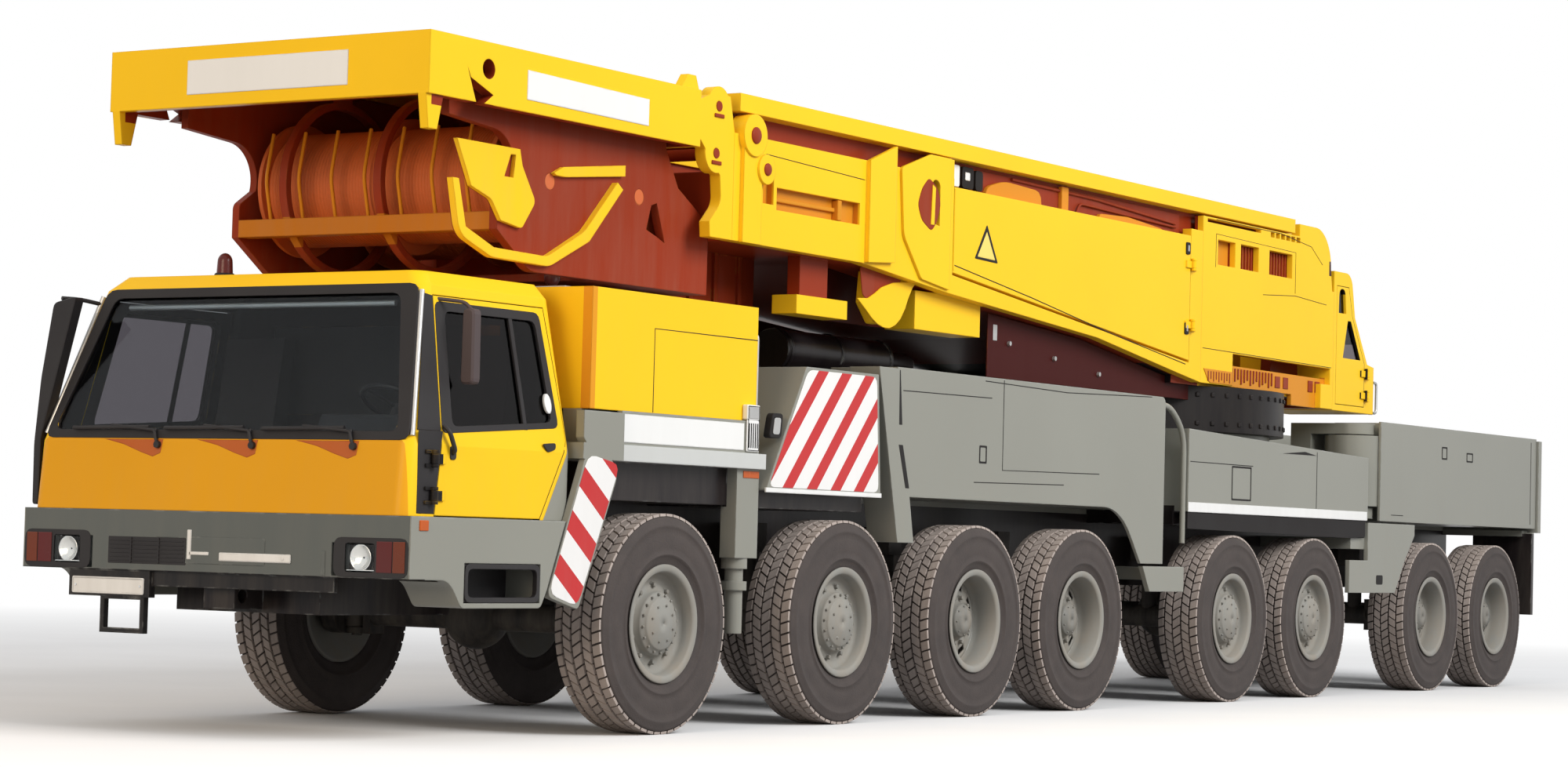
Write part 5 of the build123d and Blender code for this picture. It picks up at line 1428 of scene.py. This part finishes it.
fit("step_rails", both_sides([
    rod_mesh("step_rail", [(back(9.42), skin - 0.03, 2.40), (back(9.69), skin - 0.03, 2.40),
                           (back(9.955), skin - 0.03, 2.19), (back(9.955), skin - 0.03, 1.30)], 0.024,
             0.16),
    side_plate("step_locker", rectangle(9.45, 9.93, 1.56, 2.14), skin - 0.30, skin - 0.26),
]), "carrier", body_grey)
fit("locker_seams", both_sides([seam_mesh([(9.46, z), (9.92, z)], skin - 0.26) for z in (1.72, 1.86, 2.0)]),
    "carrier", seam_black)

# ---- Slewing ring --------------------------------------------------------------------------
# A forged bearing ring, greased black, bolted down to the pedestal by a circle of heads.
ring_low, ring_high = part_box("slewing_ring")
ring_centre = (ring_low + ring_high) / 2
ring_radius = (ring_high.y - ring_low.y) / 2
ring_black = enamel("ring_black", (0.010, 0.008, 0.008), (0.04, 0.03, 0.03), gloss=0.45, dust=0.1,
                    clean_height=3, shine=0.15)
finish_node("slewing_ring", ring_black)
ring_bolt = block_mesh("ring_bolt", (ring_radius - 0.003, -0.020, -0.020),
                       (ring_radius + 0.012, 0.020, 0.020), 0.006)
ring_bolt.transform(Matrix.Rotation(math.radians(90), 4, "X"))
bolt_circle = ring_mesh("ring_bolts", ring_bolt, 60, ring_black)
bolt_circle.transform(Matrix.Rotation(math.radians(-90), 4, "X"))
bolt_rows = []
for level in (0.07, 0.31):
    row = bolt_circle.copy()
    row.transform(Matrix.Translation((ring_centre.x, 0, ring_low.z + level)))
    bolt_rows.append(row)
fit("ring_bolt_heads", bolt_rows, "carrier")

# ---- Superstructure, side doors and hood ------------------------------------------------------
# Yellow side walls of pressed sheet round a frame that is red-brown painted shade. The bay behind each side
# door holds a tank and control boxes; the hood has grilles set in its openings, orange and red-brown
# painted shade.
house_wall = 1.25
# Red-brown stands in for yellow parts in deep shade: painted shade. Its rub colour is a paler red-brown.
shade_brown, shade_brown_rub = (0.27, 0.030, 0.007), (0.45, 0.13, 0.02)
# Orange stands in for yellow parts in half shade: painted shade.
half_shade_orange = (0.66, 0.25, 0.008)
inside_low, inside_high = (back(10.8), -1, 2.0), (back(3.50), 1.166, 4.04)
# Inside the walls the platform is red-brown painted shade, with its lit parts kept yellow. The pocket and
# the front post are orange painted shade, and the floor under the rear is near-black painted shade.
house_yellow = yellow_enamel("house_yellow", [
    (shade_brown, inside_low, inside_high),
    (yellow_paint, (back(5.20), 0.94, 2.70), (back(4.50), 1.166, 2.915)),
    (yellow_paint, (back(5.97), 1.08, 2.70), (back(5.39), 1.166, 3.14)),
    (yellow_paint, (back(7.10), 0.89, 2.70), (back(6.10), 1.166, 3.065)),
    (near_black_and_shade, (back(13.4), -1, 2.5), (back(9.8), 1.149, 2.765)),
    (half_shade_orange, (back(5.165), 1.18, 3.435), (back(4.085), 1.235, 3.595)),
    (half_shade_orange, (back(4.055), 1.18, 3.465), (back(3.915), 1.235, 3.745)),
])
# Inside, the hood is red-brown painted shade, and its band recess is orange painted shade.
hood_yellow = yellow_enamel("hood_yellow", [
    (shade_brown, (back(13.30), -1, 2.0), (back(10.6), 1.199, 4.04)),
    (half_shade_orange, (back(13.36), 1.15, 2.50), (back(11.2), 1.199, 2.825)),
    ((0.05, 0.012, 0.008), (back(13.38), 1.0, 3.735), (back(13.25), 1.3, 3.865)),
])
finish_node("platform", house_yellow)
finish_node("rear_hood", hood_yellow)
for side in ("left", "right"):
    finish_node(f"side_door_{side}", house_yellow)


def shade_brown_enamel(name, others=()):
    """Red-brown painted shade for the frame parts that lie in shade."""
    return enamel(name, shade_brown, shade_brown_rub, gloss=0.42, dust=0.2, clean_height=5, rub=0.35, shine=0.06,
                  others=others)


shade_brown_parts = shade_brown_enamel("shade_brown_parts")
half_shade_finish = enamel("half_shade_finish", half_shade_orange, (0.7, 0.3, 0.02), gloss=0.4, dust=0.2, shine=0.06)

warning_outer = [(6.80, 3.345), (7.15, 3.335), (6.975, 3.610)]
warning_inner = [(6.84, 3.362), (7.11, 3.354), (6.975, 3.560)]
door_marks = [side_plate("warning_rim", warning_outer, house_wall - 0.001, house_wall + 0.003, 0.012, 0.001,
                         warning_inner)]
for z in (3.73, 3.07):
    door_marks.append(side_plate("door_latch", rectangle(10.325, 10.395, z - 0.05, z + 0.05),
                                 house_wall - 0.001, house_wall + 0.012, 0.016, 0.003))
warning_face = [side_plate("warning_face", warning_inner, house_wall - 0.001, house_wall + 0.002, 0.006,
                           0.0005)]
latch_faces = [side_plate("latch_face", rectangle(10.348, 10.372, z - 0.025, z + 0.025),
                          house_wall + 0.010, house_wall + 0.015, 0.004, 0.001) for z in (3.73, 3.07)]
door_edge = [side_box("door_return", (6.482, 6.50), (house_wall - 0.058, house_wall + 0.004), (3.23, 3.83),
                      0.003)]
pale_yellow = enamel("pale_yellow", (0.86, 0.66, 0.14), (0.85, 0.60, 0.10), gloss=0.35, dust=0.1)
for side, turn in (("left", lambda parts: parts), ("right", lambda parts: [other_side(m) for m in parts])):
    door = f"side_door_{side}"
    fit(f"{door}_marks", turn(door_marks), door, seam_black)
    fit(f"{door}_sign", turn(warning_face), door, pale_yellow)
    fit(f"{door}_latches", turn(latch_faces), door, brushed_alloy)
    fit(f"{door}_edge", turn(door_edge), door, crane_yellow)

# The bay behind the door: a red-brown sheet of painted shade at its back, which carries control boxes, the
# tank's rounded top, a stay and pipes. The tank, stay and pump lid are orange and the pipes red-brown:
# painted shade.
bay_in, bay_out = 1.148, 1.182
shade_sheet_outline = [(6.47, 4.02), (10.40, 4.02), (10.40, 2.75), (10.19, 2.765), (8.79, 2.955), (6.47, 3.12)]
fit("bay_boxes", both_sides([
    side_plate("relay_box", rectangle(6.50, 6.67, 3.86, 4.02), bay_in, bay_out, 0.02),
    side_plate("relay_label", rectangle(6.75, 6.82, 3.92, 3.98), bay_in, bay_out + 0.004, 0.01),
]), "superstructure", white_enamel)
fit("bay_filters", both_sides([
    side_plate("filter_box", rectangle(6.71, 6.88, 3.86, 4.02), bay_in, bay_out, 0.03),
    side_plate("filter_box", rectangle(6.91, 7.02, 3.86, 4.01), bay_in, bay_out, 0.03),
    seam_mesh([(6.50, 3.27), (7.70, 3.12), (9.00, 2.94), (10.36, 2.775)], house_wall, 0.004),
]), "superstructure", seam_black)
fit("bay_tank", both_sides([
    side_plate("tank", [(7.06, 3.70), (7.94, 3.70), (7.94, 3.955), (7.35, 3.975), (7.06, 3.90)], bay_in,
               bay_out, 0.10),
    side_plate("stay", rectangle(8.27, 8.38, 3.70, 4.03), bay_in, bay_out, 0.01),
    side_plate("pump_lid", [(8.90, 3.70), (10.05, 3.70), (10.05, 3.86), (9.40, 3.90), (8.90, 3.88)], bay_in,
               bay_out, 0.05),
]), "superstructure", half_shade_finish)
fit("bay_pipes", both_sides([
    side_plate("bay_shade_sheet", shade_sheet_outline, bay_in - 0.008, bay_in),
    rod_mesh("bay_pipe", [(back(7.5), 1.158, 4.005), (back(8.9), 1.158, 3.99), (back(10.3), 1.158, 3.93)],
             0.012, 0.05),
    rod_mesh("bay_pipe", [(back(8.45), 1.165, 3.72), (back(8.60), 1.165, 3.93), (back(10.3), 1.165, 3.90)],
             0.010, 0.05),
]), "superstructure", shade_brown_parts)

# Dark sheets of painted shade close the space under the floor: the front ones stand over the silencer, the
# rear ones reach down to the deck.
belly_shade_brown = enamel("belly_shade_brown", (0.050, 0.006, 0.005), shade_brown_rub, gloss=0.5, dust=0.05, rub=0.2,
                     shine=0.06)
belly = [
    side_plate("front_belly", [(4.86, 2.79), (7.10, 2.79), (7.10, 3.00), (6.42, 3.07), (5.20, 3.175),
                               (4.86, 3.18)], 0.870, 0.880),
    side_plate("rear_belly", [(7.30, 2.50), (11.00, 2.50), (11.00, 2.62), (10.19, 2.69), (8.79, 2.88),
                              (7.30, 2.98)], 1.085, 1.095),
]
fit("belly_covers", both_sides(belly), "superstructure", belly_shade_brown)
fit("belly_lights", both_sides([
    rod_mesh("belly_light", [(back(s), 1.09, z), (back(s), 1.118, z)], 0.018)
    for s, z in ((7.62, 2.77), (8.35, 2.70), (9.1, 2.62))
] + [side_box("belly_label", (7.38, 7.44), (1.094, 1.100), (2.78, 2.90), 0.002)]), "superstructure",
    brushed_alloy)

# Ribs in the long pocket, a brace across the platform's front and seams on its wall. The ribs and brace are
# orange and the pin heads red-brown: painted shade.
pocket_parts = [side_box("pocket_rib", (4.88, 4.93), (house_wall - 0.056, house_wall - 0.004),
                         (3.445, 3.585), 0.004),
                side_box("pocket_bar", (4.10, 4.88), (house_wall - 0.056, house_wall - 0.030), (3.50, 3.53),
                         0.004)]
fit("pocket_ribs", both_sides(pocket_parts), "superstructure", half_shade_finish)
boss_parts = []
for s, z, radius in ((3.75, 3.90, 0.05), (3.90, 3.69, 0.036)):
    boss_parts.append(turned_at("pin_head", [(0.0005, 0.012), (radius, 0.012), (radius + 0.006, 0.006),
                                             (radius + 0.006, -0.004), (0.0005, -0.004)],
                                (back(s), house_wall + 0.045, z), (0, 1, 0), 28))
for s, z in ((3.370, 4.050), (3.350, 3.740)):
    boss_parts.append(rod_mesh("tail_pin",
                               [(back(s), house_wall - 0.085, z), (back(s), house_wall + 0.004, z)], 0.034,
                               sides=16))
    boss_parts.append(side_box("pin_keeper", (s - 0.055, s + 0.055),
                               (house_wall + 0.001, house_wall + 0.009), (z - 0.075, z - 0.050), 0.003))
fit("pin_heads", both_sides(boss_parts), "superstructure", shade_brown_parts)

# A pressed bowl hangs in the transport hook, and the lens in the curved web is closed by a
# red-brown sheet with an upright bar. That sheet and the one inside the bowl are painted shade.
bowl_rim = [(5.27, 2.94), (5.394, 2.865), (5.48, 2.81), (5.56, 2.775), (5.64, 2.757), (5.72, 2.757),
            (5.80, 2.785), (5.87, 2.834), (5.93, 2.91), (5.97, 2.985), (6.03, 3.07), (6.085, 3.114),
            (5.90, 3.10), (5.76, 3.085), (5.60, 3.04), (5.51, 2.99), (5.42, 2.95)]
lens_rim = [(6.073, 3.867), (5.975, 3.78), (5.92, 3.66), (5.98, 3.55), (6.125, 3.481), (6.20, 3.56),
            (6.248, 3.692), (6.20, 3.80)]
fit("hook_bowls", both_sides([
    side_plate("hook_bowl", bowl_rim, 1.170, 1.182, 0.01, 0.005),
    side_plate("lens_bar", [(6.105, 3.53), (6.155, 3.53), (6.165, 3.80), (6.120, 3.82)], house_wall + 0.022,
               house_wall + 0.027),
]), "superstructure", crane_yellow)
fit("hook_liners", both_sides([
    side_plate("bowl_shade_sheet", [(5.32, 3.17), (5.86, 3.16), (5.92, 3.00), (5.50, 2.90), (5.36, 2.97)], 1.162,
               1.168, 0.03),
    side_plate("lens_shade_sheet", lens_rim, house_wall + 0.019, house_wall + 0.0225, 0.04, 0.001),
]), "superstructure", shade_brown_parts)

# The hood's grilles: slats behind two of its openings and in the band below, which runs on
# forward over the hood's front corner. The slats are red-brown and the panels behind them orange: painted
# shade.
slats = []
for low, high in ((11.39, 11.75), (11.97, 12.45)):
    count = round((high - low) / 0.06)
    for i in range(count):
        s = low + (i + 0.5) * (high - low) / count
        slats.append(side_box("slat", (s - 0.010, s + 0.010), (house_wall - 0.072, house_wall - 0.052),
                              (3.648, 3.852), 0.003))
for i in range(9):
    s = 10.78 + i * 0.052
    slats.append(side_box("corner_slat", (s, s + 0.018), (house_wall + 0.004, house_wall + 0.008),
                          (2.66 + 0.018 * (i % 2), 2.745), 0.002))
for i in range(14):
    s = 11.36 + i * 0.062
    slats.append(side_box("band_slat", (s, s + 0.024), (1.1945, 1.203), (2.67 + 0.02 * (i % 3), 2.80),
                          0.002))
for s in (12.25, 12.42, 12.95, 13.10):
    slats.append(side_box("band_panel", (s, s + 0.10), (1.1945, 1.202), (2.68, 2.78), 0.002))
fit("hood_slats", both_sides(slats), "superstructure", shade_brown_parts)
panes = [side_box("hood_panel", (10.93, 11.29), (house_wall - 0.078, house_wall - 0.070), (3.640, 3.860),
                  0.002), side_box("hood_panel", (11.38, 12.46), (house_wall - 0.078, house_wall - 0.070),
                                   (3.640, 3.860), 0.002)]
panes.append(side_plate("band_corner", [(10.70, 2.762), (10.79, 2.665), (10.83, 2.646), (11.268, 2.646),
                                        (11.268, 2.760)], house_wall - 0.001, house_wall + 0.005, 0.01))
fit("hood_panels", both_sides(panes), "superstructure", half_shade_finish)
hood_seams = [
    seam_mesh([(10.90, 3.62), (10.90, 3.90), (12.52, 3.88), (12.52, 3.52)], house_wall, 0.003),
    seam_mesh([(11.85, 3.46), (12.52, 3.50), (13.2, 3.47)], house_wall, 0.003),
    seam_mesh([(10.68, 2.93), (13.33, 2.915)], house_wall, 0.003),
    seam_mesh([(10.90, 4.02), (12.2, 4.02), (12.85, 3.96), (13.10, 3.82)], house_wall, 0.003),
    seam_mesh([(3.95, 3.80), (5.22, 3.76)], house_wall, 0.003),
]
fit("house_seams", both_sides(hood_seams), "superstructure", seam_black)
corner_lamp_rows = [(0.0005, 0.075), (0.030, 0.070), (0.050, 0.045), (0.058, 0.0), (0.058, -0.12),
                    (0.0005, -0.12)]
fit("corner_lamps", both_sides([turned_at("corner_lamp", corner_lamp_rows, (back(13.31), 1.16, 3.80),
                                          (0, 0, 1), 28)]), "superstructure", beacon_red)

# ---- Winches and tail --------------------------------------------------------------------------
# Cast and welded winch frame, its outer straps yellow; two drums carry laid steel rope. The
# frame, drums and rope are red-brown painted shade. The tail's cross box closes the front end and bears
# bare name boards.
# The frame is red-brown painted shade; its outer straps stay yellow, and a cross bar is orange painted
# shade.
winch_shade_brown = shade_brown_enamel("winch_shade_brown", [
    (yellow_paint, (back(3.3), 1.0610, 2.8), (back(0.7), 1.3, 3.75)),
    ((0.50, 0.17, 0.008), (back(1.42), -1, 3.0), (back(1.25), 1.0, 3.18)),
])
# The straps outside the frame's plates are on its left side only.
left_only = merged_copy("winch_frame")
bmesh.ops.bisect_plane(left_only, geom=left_only.verts[:] + left_only.edges[:] + left_only.faces[:],
                       dist=same_place, plane_co=(0, -1.0545, 0), plane_no=(0, -1, 0), clear_outer=True)
plates = fit("winch_plates", [closed_mesh("winch_plates", left_only)], "superstructure",
             winch_shade_brown)
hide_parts("winch_frame")
# The tail box's underside, inner faces and a recess on its side are red-brown painted shade.
tail_yellow = yellow_enamel("tail_yellow", [
    (shade_brown, (back(3.12), -1, 3.70), (back(0.40), 1.235, 4.085)),
    (shade_brown, (back(0.97), 1.16, 3.755), (back(0.69), 1.2495, 4.035)),
])
finish_node("tail_box", tail_yellow)
boards = [plate_mesh("front_board", rounded_outline(rectangle(-0.62, 0.64, 3.835, 4.045), 0.004),
                     back(0.351), back(0.346), "X", 0.001)]
side_boards = [side_plate("side_board", [(1.29, 3.835), (2.57, 3.825), (2.57, 3.995), (1.29, 4.015)],
                          house_wall - 0.001, house_wall + 0.004, 0, 0.001)]
fit("tail_name_boards", boards + both_sides(side_boards), "superstructure", white_enamel)
# Rope and drums are red-brown painted shade; the mast's sheaves take the rope's colour.
rope_shade_brown = moulded("rope_shade_brown", (0.66, 0.155, 0.040), 0.5, grain=200, relief=0.6)
drum_shade_brown = enamel("drum_shade_brown", (0.60, 0.130, 0.030), shade_brown_rub, gloss=0.5, dust=0.2, clean_height=5,
                   rub=0.5, coat=0.0)
for name in ("front", "rear"):
    finish_node(f"winch_drum_{name}", drum_shade_brown)
    drum_low, drum_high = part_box(f"winch_drum_{name}")
    axis = (drum_low + drum_high) / 2
    winding = []
    for low, high in ((-0.895, -0.020), (0.020, 0.895)):
        turns = 36
        pitch = (high - low) / turns
        profile = [(0.349, low)]
        for i in range(turns):
            middle = low + (i + 0.5) * pitch
            profile += [(0.354 + 0.5 * pitch * math.sin(a), middle - 0.5 * pitch * math.cos(a))
                        for a in (math.radians(d) for d in (0, 60, 120))]
        profile += [(0.354, high), (0.349, high)]
        layer = turned("rope_layer", profile, 48)
        layer.transform(Matrix.Translation((axis.x, 0, axis.z)))
        winding.append(layer)
    fit(f"{name}_rope", winding, f"winch_drum_{name}", rope_shade_brown)

# A hanging weight with its eye under the frame, and hoses along the first drum.
weight_at = (back(2.03), 0.93, 2.86)
weight_rows = [(0.0005, 0.055), (0.030, 0.050), (0.052, 0.015), (0.050, -0.050), (0.030, -0.078),
               (0.0005, -0.080)]
eye = [(weight_at[0], weight_at[1] + 0.035 * math.cos(a), weight_at[2] + 0.075 + 0.035 * math.sin(a))
       for a in (math.tau * i / 16 for i in range(17))]
fit("hook_weight", [turned_at("weight", weight_rows, weight_at, (0, 0, 1), 32),
                    rod_mesh("weight_eye", eye, 0.010)], "superstructure", beacon_red)
hoses = []
for i in range(7):
    y = -0.80 + i * 0.265
    hoses.append(rod_mesh("rope_guide", [(back(1.36), y, 3.165), (back(1.30), y, 3.42),
                                         (back(1.36), y, 3.72)], 0.012, 0.06))
# The rope guides are orange painted shade.
fit("rope_guides", hoses, "superstructure", half_shade_finish)

# ---- Mast --------------------------------------------------------------------------------------
# Two box legs joined by tubes lie folded forward; their top plates are yellow and the
# webs, which lie in shade, are red-brown painted shade. Rope sheaves sit on the head's axle.
mast_yellow = yellow_enamel("mast_yellow",
                            [(shade_brown, (back(13.6), -1, 3.0), (back(3.4), 1.145, 4.0495))])
finish_node("mast", mast_yellow)
sheaves = []
for y in (-0.30, 0.0, 0.30):
    groove = [(0.152, -0.036), (0.190, -0.034), (0.172, 0.0), (0.190, 0.034), (0.152, 0.036)]
    wheel = turned("sheave", groove, 40)
    wheel.transform(Matrix.Translation((back(3.90), y, 3.92)))
    sheaves.append(wheel)
fit("mast_sheaves", sheaves, "mast", rope_shade_brown)

# ---- Crane operator's cab --------------------------------------------------------------------
# A small sheet cab with a sliding door: an oval and a three-cornered window, and a raked
# screen. Its lining is dark, and a padded seat stands inside.
operator_yellow = yellow_enamel("operator_yellow", [
    (dark_lining_and_shade, (back(13.72), 0.83, 3.05)),
    ((0.16, 0.12, 0.09), (back(14.42), 1.14, 2.4), (back(14.305), 1.3, 3.2)),
])
finish_node("crane_cab", operator_yellow)
finish_node("crane_cab_door", operator_yellow)
pane_level = house_wall - 0.030
fit("crane_door_panes", [
    side_plate("oval_pane", [(13.465, 3.40), (13.475, 3.655), (13.635, 3.655), (13.665, 3.40)], pane_level,
               pane_level + 0.006, 0.05, 0),
    side_plate("corner_pane", [(13.575, 3.00), (13.68, 3.375), (13.77, 3.375), (14.01, 3.00)], pane_level,
               pane_level + 0.006, 0.01, 0),
], "crane_cab_door", door_glass)
fit("operator_handrail",
    [rod_mesh("handrail", [(back(14.41), 1.20, 2.56), (back(14.49), 1.20, 2.56), (back(14.49), 1.20, 2.84),
                           (back(14.41), 1.20, 2.84)], 0.013, 0.04)], "superstructure",
    brushed_alloy)

# ---- Tail --------------------------------------------------------------------------------------
# The deck's end plate carries lamp clusters, a bare number plate and a towing jaw; rungs
# beside them lead up to the deck, whose floor is pressed into ribs.
tail_face = cad_low.x
cluster_parts, tail_red, tail_amber = [], [], []
for sign in (1, -1):
    low_y, high_y = sorted((sign * 0.98, sign * 1.40))
    cluster_parts.append(block_mesh("cluster_case", (tail_face - 0.006, low_y, 1.565),
                                    (tail_face + 0.02, high_y, 1.705), 0.006))
    for k, row in enumerate((tail_amber, tail_red, tail_red)):
        low_y, high_y = sorted((sign * (1.365 - k * 0.12), sign * (1.265 - k * 0.12)))
        row.append(block_mesh("cluster_lens", (tail_face - 0.009, low_y, 1.585), (tail_face, high_y, 1.685),
                              0.004))
cluster_parts.append(plate_mesh("jaw", rounded_outline(rectangle(-0.14, 0.14, 1.56, 1.72), 0.03),
                                tail_face - 0.008, tail_face + 0.02, "X", 0.004,
                                rounded_outline(rectangle(-0.06, 0.06, 1.60, 1.68), 0.03)))
cluster_parts.append(rod_mesh("jaw_pin", [(tail_face - 0.002, 0, 1.565), (tail_face - 0.002, 0, 1.715)],
                              0.006))
fit("tail_fittings", cluster_parts, "carrier", black_plastic)
fit("tail_red_lenses", tail_red, "carrier", red_lens)
fit("tail_indicators", tail_amber, "carrier", amber_lens)
fit("tail_number_plate", [block_mesh("tail_plate", (tail_face - 0.004, 0.30, 1.60),
                                     (tail_face + 0.01, 0.82, 1.70), 0.003)], "carrier",
    white_enamel)
rungs = [rod_mesh("rung", [(tail_face + 0.01, -0.90, z), (tail_face - 0.035, -0.90, z),
                           (tail_face - 0.035, -0.54, z), (tail_face + 0.01, -0.54, z)], 0.009, 0.02)
         for z in (1.80, 2.02, 2.24)]
fit("tail_rungs", rungs, "carrier", body_grey)
